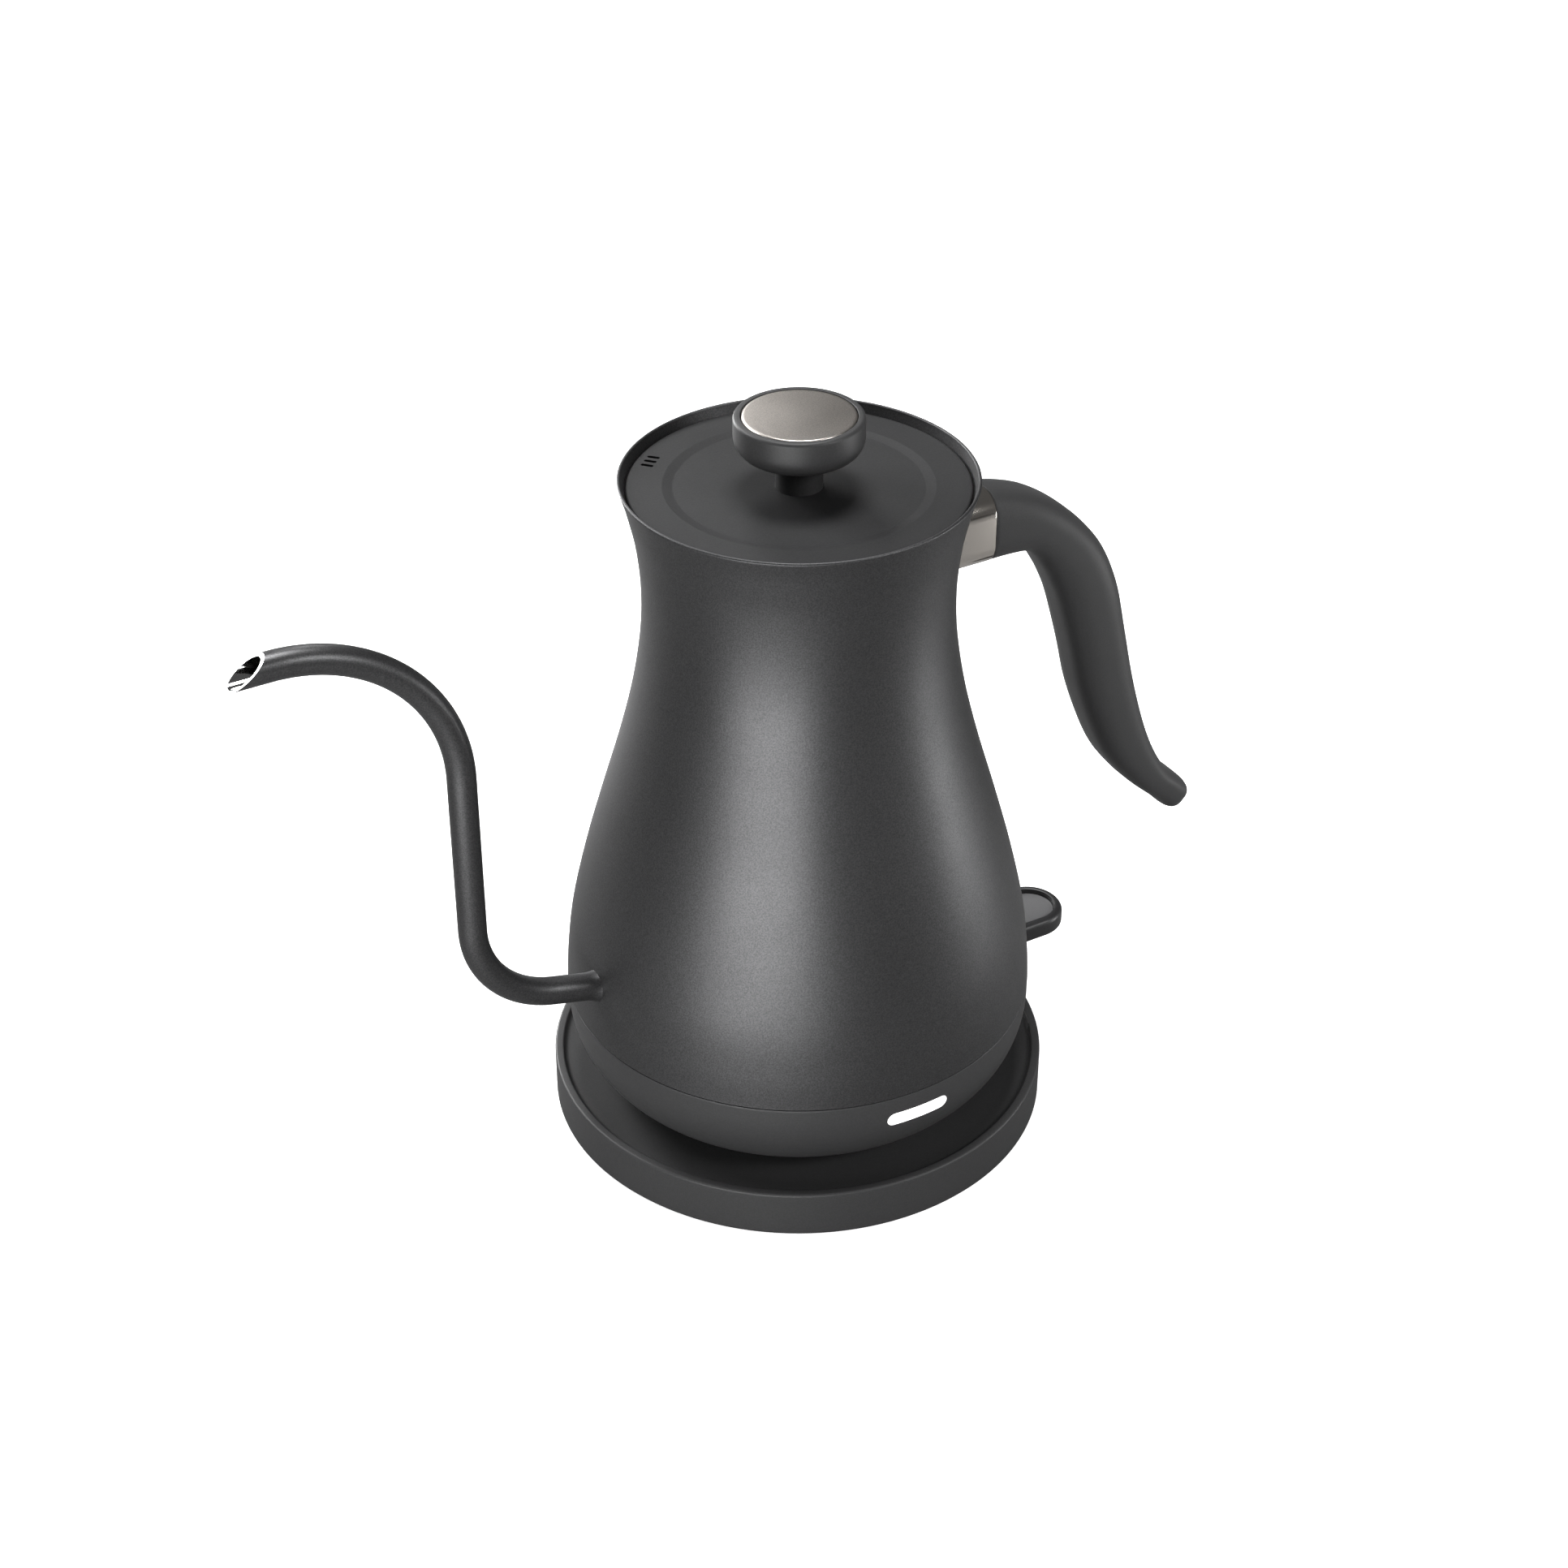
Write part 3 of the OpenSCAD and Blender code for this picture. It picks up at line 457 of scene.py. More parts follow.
def turn(name, outline, closed=True, steps=TURN_STEPS):
    """Piece turned round the Z axis from (radius, height) points in millimetres."""
    outline = spaced(outline, closed)
    points, rows, faces = [], [], []
    for radius, height in outline:
        first = len(points)
        if radius < 1e-6:
            points.append((0.0, 0.0, height))
            rows.append([first] * steps)
            continue
        for step in range(steps):
            angle = 2 * math.pi * step / steps
            points.append((radius * math.cos(angle), radius * math.sin(angle), height))
        rows.append(list(range(first, first + steps)))
    pairs = list(zip(rows, rows[1:])) + ([(rows[-1], rows[0])] if closed else [])
    for low, high in pairs:
        for step in range(steps):
            after = (step + 1) % steps
            corner = [low[step], low[after], high[after], high[step]]
            face = list(dict.fromkeys(corner))
            if len(face) > 2:
                faces.append(face)
    return make_piece(name, points, faces)


def loft(name, rings, loop=False, sharp=32.0):
    """Piece through rings of points. It is capped at both ends unless it is a loop."""
    size = len(rings[0])
    points = [point for ring in rings for point in ring]
    faces = []
    for row in range(len(rings) - (0 if loop else 1)):
        here, there = row * size, (row + 1) % len(rings) * size
        for step in range(size):
            after = (step + 1) % size
            faces.append([here + step, here + after, there + after, there + step])
    if not loop:
        faces.append(list(range(size))[::-1])
        faces.append([(len(rings) - 1) * size + step for step in range(size)])
    return make_piece(name, points, faces, sharp)


def boolean(piece, other, operation="DIFFERENCE", sharp=32.0):
    """Cut piece with other, or keep what they share, and throw other away."""
    modifier = piece.modifiers.new("shape", "BOOLEAN")
    modifier.operation = operation
    modifier.solver = "EXACT"
    modifier.object = other
    evaluated = piece.evaluated_get(bpy.context.evaluated_depsgraph_get())
    result = bpy.data.meshes.new_from_object(evaluated)
    piece.modifiers.clear()
    piece.data = result
    bpy.data.objects.remove(other)
    return finish_mesh(piece, sharp)


def dress(piece, body, slot, replaced, finishes=None):
    """Give a finished piece its material, picked by slot unless finishes are given, put it on its body and
    hide the nodes it stands for.
    """
    if not piece.data.materials:
        for material in finishes or [FINISHES[slot]]:
            piece.data.materials.append(material)
    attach(piece, body)
    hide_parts(*replaced)
    print(f"{piece.name}: {len(piece.data.polygons)} faces, rides on {body}")
    return piece


def box_mm(node):
    """Lowest and highest corner of a CAD node, in millimetres."""
    low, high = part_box(node)
    return low / MM, high / MM


# %% [markdown]
# ## Reading the vessel's outline from the frame
# The vessel is a surface of revolution, so its outline is just the largest radius at each
# height. The CAD mesh holds it already, as straight steps. The radius is read near a few
# chosen heights, and a smooth curve through those points gives the soft flowing side of the
# real vessel. It can't drift from the CAD, and it has none of the steps.

# %% Vessel outline
def outline_of(node, heights, reach=0.35):
    """(radius, height) points of a turned node's outer side, each read within reach of a height."""
    line = []
    for wanted in heights:
        near = [v.co / MM for v in nodes[node].data.vertices if abs(v.co.z / MM - wanted) < reach]
        widest = max(near, key=lambda place: math.hypot(place.x, place.y))
        line.append((math.hypot(widest.x, widest.y), widest.z))
    return line


shell_low, shell_high = box_mm("body_shell")
SHELL_T = 1.0
RIM_Z = shell_high.z
BOX_GAP = 0.02
SIDE_HEIGHTS = (shell_low.z, 52, 66, 84, 102, 120, 136, 150, 162, 174, 186, 196, 200.8)
side = smooth_line(outline_of("body_shell", SIDE_HEIGHTS), 8)


def body_radius(height):
    """Outer radius of the vessel at a height, both in millimetres."""
    for (r0, z0), (r1, z1) in zip(side, side[1:]):
        if z0 <= height <= z1:
            return r0 + (r1 - r0) * (height - z0) / (z1 - z0)
    return side[0][0] if height < side[0][1] else side[-1][0]


flare = (side[-1][0] - side[-2][0]) / (side[-1][1] - side[-2][1])
rim_r = side[-1][0] + flare * (RIM_Z - side[-1][1]) - BOX_GAP
print("outline rows:", len(side), "rim radius:", round(rim_r, 2))


# %% [markdown]
# ## The vessel
# The wall is one millimetre of steel. It is turned as one closed skin: up the coated outside,
# over a rolled rim and down the bare inside. The inner faces get a brushed steel of their
# own, because the coat stops just inside the rim. The spout's hole is cut last.

# %% Vessel shell
def inward(points, distance):
    """The same line moved square to itself, towards the axis."""
    moved = []
    for index, (radius, height) in enumerate(points):
        r0, z0 = points[max(index - 1, 0)]
        r1, z1 = points[min(index + 1, len(points) - 1)]
        length = math.hypot(r1 - r0, z1 - z0)
        moved.append((radius - distance * (z1 - z0) / length, height + distance * (r1 - r0) / length))
    return moved


LOW_BEVEL = 0.25
PAST_WALL_MIDDLE = 0.6
COAT_BELOW_RIM = 1.5
outer_side = side[:-1] + [(rim_r, RIM_Z - SHELL_T / 2)]
outer_side[0] = (side[0][0] - LOW_BEVEL, shell_low.z)
outer_side.insert(1, (side[0][0], shell_low.z + LOW_BEVEL))
inner_side = [(radius, min(height, RIM_Z - SHELL_T / 2)) for radius, height in inward(side, SHELL_T)]
inner_side[-1] = (rim_r - SHELL_T, RIM_Z - SHELL_T / 2)
rim = arc((rim_r - SHELL_T / 2, RIM_Z - SHELL_T / 2), SHELL_T / 2, 0, 180, 8)[1:-1]
vessel = turn("vessel", outer_side + rim + inner_side[::-1])
for polygon in vessel.data.polygons:
    middle = polygon.center
    radius = math.hypot(middle.x, middle.y) / MM
    height = middle.z / MM
    is_inner = radius < body_radius(height) - PAST_WALL_MIDDLE
    polygon.material_index = 1 if is_inner and height < RIM_Z - COAT_BELOW_RIM else 0
vessel.data.materials.append(coated_steel)
vessel.data.materials.append(steel)


# %% [markdown]
# ## The gooseneck spout
# The spout is one bent tube: it leaves the vessel at a slight rise, turns straight up, and
# arches over to a level tip with a slanting cut. Its middle line is two arcs with straight
# lines between them. Geometry Nodes sweep a circle along that line, because a swept tube
# follows a rule: the same circle all the way, a little larger where it is welded on.

# %% Spout path
TUBE_R = 4.0
TUBE_T = 0.7
ROOT_PITCH = 14.0
ROOT_LENGTH = 15.0
ROOT_STEP = 0.5
WELD_SWELL = 0.8
WELD_START = 10.5
WELD_LENGTH = 3.9
LOW_BEND = (-72.6, 91.9)
LOW_BEND_R = 30.0
TOP_BEND_R = 49.0
TIP_Z = 190.5
TIP_X = -158.0
TIP_SLANT = 1.375
PAST_TOP = 14.0
STEM_X = LOW_BEND[0] - LOW_BEND_R
TOP_BEND = (STEM_X - TOP_BEND_R, TIP_Z - TOP_BEND_R)


def spout_line():
    """Middle line of the tube as (x, z, extra radius) from inside the wall to past the tip."""
    pitch = math.radians(ROOT_PITCH)
    start = Vector((
        LOW_BEND[0] - LOW_BEND_R * math.sin(pitch), LOW_BEND[1] - LOW_BEND_R * math.cos(pitch)
    ))
    inwards = Vector((math.cos(pitch), -math.sin(pitch)))
    line = []
    for step in range(int(ROOT_LENGTH / ROOT_STEP)):
        distance = ROOT_LENGTH - step * ROOT_STEP
        place = start + inwards * distance
        swell = WELD_SWELL * max(0.0, min(1.0, (distance - WELD_START) / WELD_LENGTH)) ** 2
        line.append((place.x, place.y, swell))
    for x, z in arc(LOW_BEND, LOW_BEND_R, 270 - ROOT_PITCH, 180, 40):
        line.append((x, z, 0.0))
    for x, z in arc(TOP_BEND, TOP_BEND_R, 0, 90, 60):
        line.append((x, z, 0.0))
    line.append((TOP_BEND[0] - PAST_TOP, TIP_Z, 0.0))
    return line


path = spout_line()
print("spout points:", len(path), "stem at x =", STEM_X)


# %% Tube tree
def new_tree(name, inputs):
    """Geometry Nodes tree with named inputs {name: kind}. It returns its start and its end too."""
    tree = bpy.data.node_groups.new(name, "GeometryNodeTree")
    for socket, kind in {"Geometry": "Geometry", **inputs, "Finish": "Material"}.items():
        tree.interface.new_socket(socket, in_out="INPUT", socket_type="NodeSocket" + kind)
    tree.interface.new_socket("Geometry", in_out="OUTPUT", socket_type="NodeSocketGeometry")
    return tree, tree.nodes.new("NodeGroupInput"), tree.nodes.new("NodeGroupOutput")


def make_real(tree, start, result, end):
    """Link result to the tree's end, with its instances made real and the finish set."""
    real = tree.nodes.new("GeometryNodeRealizeInstances")
    paint = tree.nodes.new("GeometryNodeSetMaterial")
    tree.links.new(result, real.inputs["Geometry"])
    tree.links.new(real.outputs["Geometry"], paint.inputs["Geometry"])
    tree.links.new(start.outputs["Finish"], paint.inputs["Material"])
    tree.links.new(paint.outputs["Geometry"], end.inputs["Geometry"])


def pipe_tree():
    """Geometry Nodes: a round tube along a line, with named inputs for its sizes."""
    tree, start, end = new_tree("pipe_on_path", {"Radius": "Float", "Sides": "Int"})
    line = tree.nodes.new("GeometryNodeMeshToCurve")
    swell = tree.nodes.new("GeometryNodeInputNamedAttribute")
    swell.inputs["Name"].default_value = "swell"
    size = tree.nodes.new("ShaderNodeMath")
    size.operation = "ADD"
    circle = tree.nodes.new("GeometryNodeCurvePrimitiveCircle")
    circle.inputs["Radius"].default_value = 1.0
    sweep = tree.nodes.new("GeometryNodeCurveToMesh")
    link = tree.links.new
    link(start.outputs["Geometry"], line.inputs["Mesh"])
    link(start.outputs["Radius"], size.inputs[0])
    link(swell.outputs["Attribute"], size.inputs[1])
    link(start.outputs["Sides"], circle.inputs["Resolution"])
    link(line.outputs["Curve"], sweep.inputs["Curve"])
    link(circle.outputs["Curve"], sweep.inputs["Profile Curve"])
    link(size.outputs[0], sweep.inputs["Scale"])
    make_real(tree, start, sweep.outputs["Mesh"], end)
    return tree


def run_tree(piece, tree, **values):
    """Result of a Geometry Nodes tree on piece, as a plain mesh. Inputs go by identifier."""
    modifier = piece.modifiers.new("tree", "NODES")
    modifier.node_group = tree
    for socket in tree.interface.items_tree:
        name = socket.name.replace(" ", "_")
        if socket.in_out == "INPUT" and name in values:
            modifier[socket.identifier] = values[name]
    evaluated = piece.evaluated_get(bpy.context.evaluated_depsgraph_get())
    result = bpy.data.meshes.new_from_object(evaluated)
    piece.modifiers.remove(modifier)
    return result


PIPE = pipe_tree()


def pipe_mesh(radius, finish_used):
    """Open tube skin of a radius in millimetres along the spout's line."""
    mesh = bpy.data.meshes.new("spout_line")
    edges = [(index, index + 1) for index in range(len(path) - 1)]
    mesh.from_pydata([(x * MM, 0.0, z * MM) for x, z, _ in path], edges, [])
    swell = mesh.attributes.new("swell", "FLOAT", "POINT")
    is_outer = 1.0 if radius == TUBE_R else 0.0
    swell.data.foreach_set("value", [extra * MM * is_outer for _, _, extra in path])
    line = bpy.data.objects.new("spout_line", mesh)
    scene.collection.objects.link(line)
    result = run_tree(line, PIPE, Radius=radius * MM, Sides=72, Finish=finish_used)
    bpy.data.objects.remove(line)
    return result


# %% [markdown]
# ## Cutting the tip and closing the tube
# The outer and the inner skin are cut by one slanting plane, and the two cut edges are joined
# by a ring of faces. That ring is the bare lip that shines at the tip, so it is polished
# steel, like the inner skin. At the root each line of the tube is run on until it is halfway
# into the vessel's wall, which follows the curved side and leaves no gap at the weld.

# %% Spout
WALL_MIDDLE = 0.5
WALL_TRIES = 6
ANGLE_SHIFT = 0.02


def run_into_wall(vertex):
    """Move a root vertex along the tube until it is in the middle of the vessel's wall."""
    x, y, z = (value / MM for value in vertex.co)
    for _ in range(WALL_TRIES):
        target = -math.sqrt((body_radius(z) - WALL_MIDDLE) ** 2 - y * y)
        z -= (target - x) * math.tan(math.radians(ROOT_PITCH))
        x = target
    vertex.co = (x * MM, y * MM, z * MM)


def close_end(shape, middle, rise):
    """Join the outer and the inner edge round a tube end. rise is the line's slope in XZ."""
    lean = math.cos(math.atan(rise))
    rings = {True: [], False: []}
    for vertex in shape.verts:
        if vertex.is_boundary and (vertex.co.x / MM < STEM_X) == (middle[0] < STEM_X):
            x, y, z = (value / MM for value in vertex.co)
            up = (z - middle[1] - rise * (x - middle[0])) * lean
            is_outer = math.hypot(y, up) > TUBE_R - TUBE_T / 2
            # The shift keeps the first point of both rings clear of the jump at angle zero.
            rings[is_outer].append(((math.atan2(y, up) + ANGLE_SHIFT) % (2 * math.pi), vertex))
    outer = [vertex for _, vertex in sorted(rings[True], key=lambda item: item[0])]
    inner = [vertex for _, vertex in sorted(rings[False], key=lambda item: item[0])]
    for index in range(len(outer)):
        after = (index + 1) % len(outer)
        face = shape.faces.new([outer[index], outer[after], inner[after], inner[index]])
        face.material_index = 1


def build_spout():
    """Closed tube: an outer skin, an inner skin and a ring of faces at each end."""
    shape = bmesh.new()
    shape.from_mesh(pipe_mesh(TUBE_R, spout_coat))
    outer_count = len(shape.faces)
    shape.from_mesh(pipe_mesh(TUBE_R - TUBE_T, spout_coat))
    for index, face in enumerate(shape.faces):
        face.material_index = 0 if index < outer_count else 1
    slant = math.atan(TIP_SLANT)
    bmesh.ops.bisect_plane(
        shape, geom=shape.verts[:] + shape.edges[:] + shape.faces[:], clear_inner=True,
        plane_co=(TIP_X * MM, 0.0, TIP_Z * MM), plane_no=(math.cos(slant), 0.0, -math.sin(slant)),
    )
    for vertex in shape.verts:
        if vertex.is_boundary and vertex.co.x / MM > STEM_X:
            run_into_wall(vertex)
    close_end(shape, (TIP_X, TIP_Z), 0.0)
    close_end(shape, path[0][:2], -math.tan(math.radians(ROOT_PITCH)))
    bmesh.ops.recalc_face_normals(shape, faces=shape.faces)
    if shape.calc_volume(signed=True) < 0:
        bmesh.ops.reverse_faces(shape, faces=shape.faces)
    print("spout open edges:", sum(not edge.is_manifold for edge in shape.edges))
    mesh = bpy.data.meshes.new("spout")
    for material in (spout_coat, polished_steel):
        mesh.materials.append(material)
    shape.to_mesh(mesh)
    shape.free()
    return finish_mesh(bpy.data.objects.new("spout", mesh))


spout = build_spout()
dress(spout, "kettle", "coated_steel", ["spout_tube"])


# %% [markdown]
# ## The hole behind the spout
# Water reaches the spout through a round hole in the vessel's wall. A plain cylinder laid
# along the root cuts it, and the cut takes the bare steel of the inside.

# %% Spout hole
def rod(name, start, end, radius, steps=48):
    """Closed round bar between two points, in millimetres, used as a cutter or a pin."""
    start, end = Vector(start), Vector(end)
    along = (end - start).normalized()
    across = along.orthogonal().normalized()
    third = along.cross(across)
    angles = [2 * math.pi * step / steps for step in range(steps)]
    rings = [
        [centre + (across * math.cos(a) + third * math.sin(a)) * radius for a in angles]
        for centre in (start, end)
    ]
    return loft(name, rings)


FURTHER_ALONG = 20
HOLE_BACK = 3
HOLE_ON = 8
root_start, root_end = (Vector((path[at][0], 0, path[at][1])) for at in (0, FURTHER_ALONG))
root_way = (root_start - root_end).normalized()
hole = rod(
    "hole", root_start - root_way * HOLE_BACK, root_start + root_way * HOLE_ON, TUBE_R - TUBE_T
)
hole.data.materials.append(steel)
boolean(vessel, hole)
dress(vessel, "kettle", "coated_steel", ["body_shell"])


# %% [markdown]
# ## The skirt
# Under the vessel sits a plastic bowl that hides the heater and the switch. Its side is an
# arc down to a flat foot. The lamp window and the lever's slot are cut through it, and a lip
# inside the top locates the vessel.

# %% Skirt
skirt_low, skirt_high = box_mm("base_skirt")
SKIRT_R = skirt_high.x
SKIRT_T = 2.2
BOWL_R = 27.0
BOWL = (SKIRT_R - BOWL_R, 38.0)
SEAM_Z = 42.0
FOOT_Z = skirt_low.z
HOLE_R = 24.5
HOLE_LIP_T = 2.0
HOLE_LIP_Z = 21.0
SEAT_R = 66.7
SEAT_INNER_R = 64.9


def bowl_line(inset, low, steps=28):
    """Side of the bowl moved in by inset, from the height low up to the arc's end."""
    radius = BOWL_R - inset
    start = math.degrees(math.asin((low - BOWL[1]) / radius))
    return arc(BOWL, radius, start, 0, steps)


skirt_line = (
    [(HOLE_R, FOOT_Z)] + bowl_line(0.0, FOOT_Z)
    + [(SKIRT_R, SEAM_Z - 0.3), (SKIRT_R - 0.1, SEAM_Z - 0.08), (SKIRT_R - 0.3, SEAM_Z)]
    + [(SEAT_R, SEAM_Z), (SEAT_R, skirt_high.z), (SEAT_INNER_R, skirt_high.z),
       (SKIRT_R - SKIRT_T, SEAM_Z - 3)]
    + bowl_line(SKIRT_T, FOOT_Z + SKIRT_T)[::-1]
    + [(HOLE_R + HOLE_LIP_T, FOOT_Z + SKIRT_T), (HOLE_R + HOLE_LIP_T, HOLE_LIP_Z),
       (HOLE_R, HOLE_LIP_Z)]
)
skirt = turn("skirt", skirt_line)


def stadium_prism(name, length, height, y_low, y_high, middle_z, steps=20):
    """Bar with a stadium section in XZ, lying along Y."""
    half, radius = (length - height) / 2, height / 2
    line = arc((half, middle_z), radius, -90, 90, steps) + arc((-half, middle_z), radius, 90, 270, steps)
    return loft(name, [[(x, y, z) for x, z in line] for y in (y_low, y_high)])


window_low, window_high = box_mm("light_window")
WINDOW_L = window_high.x - window_low.x
WINDOW_H = window_high.z - window_low.z
WINDOW_Z = (window_high.z + window_low.z) / 2
WINDOW_GAP = 0.1
WINDOW_DEPTH = (-80, -58)
boolean(skirt, stadium_prism(
    "cut", WINDOW_L + WINDOW_GAP, WINDOW_H + WINDOW_GAP, *WINDOW_DEPTH, WINDOW_Z
))


def block(name, low, high):
    """Box between two corners, in millimetres."""
    (x0, y0, z0), (x1, y1, z1) = low, high
    ring = [(x0, y0), (x1, y0), (x1, y1), (x0, y1)]
    return loft(name, [[(x, y, z0) for x, y in ring], [(x, y, z1) for x, y in ring]])


lever_high = box_mm("switch_lever")[1]
pivot_low, pivot_high = box_mm("switch_pivot")
PIVOT = ((pivot_low.x + pivot_high.x) / 2, (pivot_low.z + pivot_high.z) / 2)
PADDLE_W = lever_high.y
PADDLE_Z = 28.5
SLOT_TOP = 37.5
SLOT_GAP = 0.6
SLOT_START = PIVOT[0] + 2
SLOT_END = 80
boolean(skirt, block(
    "cut", (SLOT_START, -PADDLE_W - SLOT_GAP, PADDLE_Z - SLOT_GAP),
    (SLOT_END, PADDLE_W + SLOT_GAP, SLOT_TOP)
))
dress(skirt, "kettle", "grey_plastic", ["base_skirt"])


# %% [markdown]
# ## The lamp window
# The window is a white diffuser that lies flush in the skirt and glows while the kettle
# heats. It is what the stadium and the skirt's own wall share, so its face has the same curve
# as the bowl round it.

# %% Lamp window
FLUSH = 0.03
WALL_LOW = 20.0
wall_line = (
    bowl_line(FLUSH, WALL_LOW) + [(SKIRT_R - FLUSH, SEAM_Z - 1), (SKIRT_R - SKIRT_T, SEAM_Z - 1)]
    + bowl_line(SKIRT_T, WALL_LOW)[::-1]
)
lamp_window = turn("lamp_window", wall_line)
boolean(lamp_window, stadium_prism("cut", WINDOW_L, WINDOW_H, *WINDOW_DEPTH, WINDOW_Z), "INTERSECT")
dress(lamp_window, "kettle", "lamp_white", ["light_window"])


# %% [markdown]
# ## The power base
# The base is a low round housing. Its flat rim is raised above a shallow dish, where the
# kettle stands, and every edge is slightly rounded, which gives the thin light lines round
# the rim. A notch at the back takes the bush of the mains lead.

# %% Base housing
base_low, base_high = box_mm("base_housing")
BASE_R = -base_low.x
BASE_WALL = 2.4
RIM_W = 2.5
DECK_Z = 14.0
DECK_T = 2.0
BOSS_R = 16.9
GLAND_HALF = 4.9
GLAND_Z = 6.5
GLAND_CUT = GLAND_HALF + 0.05
dish_r = BASE_R - RIM_W
wall_r = BASE_R - BASE_WALL
housing = turn("base_shell", rounded([
    (wall_r, base_low.z, 0), (BASE_R, base_low.z, 0.35), (BASE_R, base_high.z, 0.7),
    (dish_r, base_high.z, 0.55), (dish_r - 0.6, DECK_Z, 1.2), (BOSS_R, DECK_Z, 0.3),
    (BOSS_R, DECK_Z - DECK_T, 0), (wall_r, DECK_Z - DECK_T, 0.6),
]))
boolean(housing, block(
    "cut", (-GLAND_CUT, wall_r - 5, -1), (GLAND_CUT, BASE_R + 2, GLAND_Z + GLAND_HALF + 0.05)
))
dress(housing, "power_base", "grey_plastic", ["base_housing"])


# %% [markdown]
# ## The bush for the mains lead
# The bush is a rubber block held by its flange behind the wall, with a round collar outside.
# It is built as one solid and bored last, so the hole runs clean through all of it.

# %% Lead bush
gland_low, gland_high = box_mm("cord_gland")
BLOCK_DEPTH = 1.9
FLANGE_T = 2.3
BUSH_R = 4.8
LEAD_R = 3.5
BUSH_EDGE = 0.35
bush = block(
    "lead_bush", (-GLAND_HALF, wall_r - BLOCK_DEPTH, GLAND_Z - GLAND_HALF),
    (GLAND_HALF, BASE_R - 0.1, GLAND_Z + GLAND_HALF),
)
boolean(bush, block(
    "flange", gland_low, (gland_high.x, gland_low.y + FLANGE_T, gland_high.z)
), "UNION")
boolean(bush, rod("collar", (0, BASE_R - 1, GLAND_Z), (0, gland_high.y, GLAND_Z), BUSH_R, 72), "UNION")
boolean(bush, rod("bore", (0, gland_low.y - 2, GLAND_Z), (0, gland_high.y + 2, GLAND_Z), LEAD_R, 72))
soften = bush.modifiers.new("soften", "BEVEL")
soften.width = BUSH_EDGE * MM
soften.segments = 3
soften.limit_method = "ANGLE"
dress(bush, "power_base", "rubber", ["cord_gland"])


# %% [markdown]
# ## The drip ring of the coupling
# A soft ring under the kettle keeps spilt water off the contacts. Its outer edge is a thin
# lip. It is turned from a short outline with generous roundings, as moulded rubber has.

# %% Drip ring
seal_low, seal_high = box_mm("coupling_seal")
SEAL_BORE_R = 18.4
SEAL_STEP_Z = 16.4
lip_r = seal_high.x - 1.6
drip_ring = turn("drip_ring_seal", rounded([
    (SEAL_BORE_R, seal_low.z, 0.4), (seal_high.x, seal_low.z, 0.5), (seal_high.x, seal_high.z, 0.5),
    (lip_r, seal_high.z, 0.5), (lip_r, SEAL_STEP_Z, 0.3), (SEAL_BORE_R, SEAL_STEP_Z, 0.4),
], steps=4), steps=144)
dress(drip_ring, "drip_ring", "rubber", ["coupling_seal"])


# %% [markdown]
# ## The grip
# The grip is a J that leaves the collar level, bends down and flares out at its open end. It
# is lofted: at each station the outer and the inner edge are given, and the section between
# them is a squircle, which has flat sides and soft corners. Between stations a smooth curve
# adds more, and the open end closes in a round cap.

# %% Grip
GRIP_W = 9.0
SQUARE = 3.0
GRIP_STATIONS = [
    (58.4, 186.4, 58.4, 164.2), (66, 184.5, 66, 164.2), (74.5, 181.1, 71.8, 163.5),
    (83.5, 175.2, 75.8, 160.4), (92.2, 167, 78.8, 155.8), (99.2, 157.5, 81.8, 150.2),
    (104.7, 144.6, 85.2, 141.9), (108.3, 129.8, 90.1, 125.3), (111.9, 114.4, 93.9, 110.4),
    (115.1, 102.6, 99, 96.6), (118.8, 91.2, 104.3, 85.4), (122.9, 81.6, 110.5, 76.7),
    (127.5, 74, 116.8, 69.7), (132.6, 69, 124.4, 62.7), (135.1, 66.5, 127.8, 59.2),
]
CAP_LENGTH = 6.0
CAP_RINGS = 9
CAP_TURN = 86
START_SHRINK = 0.07
START_EDGE = 0.6
SCREW_X = 67.0
RECESS_R = 4.1
RECESS_LOW = 155
RECESS_HIGH = 167.6


def squircle(half_depth, half_width, square, sides):
    """Points (depth, width) of a section between an ellipse and a rectangle."""
    power = 2 / square
    points = []
    for side_index in range(sides):
        angle = 2 * math.pi * side_index / sides
        c, s = math.cos(angle), math.sin(angle)
        points.append((
            half_depth * math.copysign(abs(c) ** power, c),
            half_width * math.copysign(abs(s) ** power, s),
        ))
    return points


def grip_ring(station, shrink=1.0, forward=0.0, sides=72):
    """Ring of points round a station, shrunk and moved on along the grip."""
    outer, inner = Vector(station[:2]), Vector(station[2:])
    middle, across = (outer + inner) / 2, (outer - inner) / 2
    depth = across.length
    way = across.normalized()
    onward = Vector((way.y, -way.x)) * forward
    return [
        (middle.x + way.x * d + onward.x, w, middle.y + way.y * d + onward.y)
        for d, w in squircle(depth * shrink, GRIP_W * shrink, SQUARE, sides)
    ]


stations = smooth_line(GRIP_STATIONS, 8)
edge_in = [
    grip_ring(stations[0], 1 - START_SHRINK * (1 - math.sin(a)), START_EDGE * (1 - math.cos(a)))
    for a in (0.0, 0.5, 1.0)
]
grip_rings = edge_in + [grip_ring(station) for station in stations[1:]]
for step in range(1, CAP_RINGS + 1):
    turn_angle = math.radians(CAP_TURN * step / CAP_RINGS)
    grip_rings.append(
        grip_ring(stations[-1], math.cos(turn_angle), CAP_LENGTH * math.sin(turn_angle))
    )
grip = loft("grip", grip_rings, sharp=50.0)
grip_high = box_mm("handle_grip")[1]
print("grip reaches x =", round(max(p[0] for r in grip_rings for p in r), 2), "CAD", round(grip_high.x, 2))
recess = rod("cut", (SCREW_X, 0, RECESS_LOW), (SCREW_X, 0, RECESS_HIGH), RECESS_R)
boolean(grip, recess, sharp=50.0)
dress(grip, "kettle", "soft_grip", ["handle_grip"])


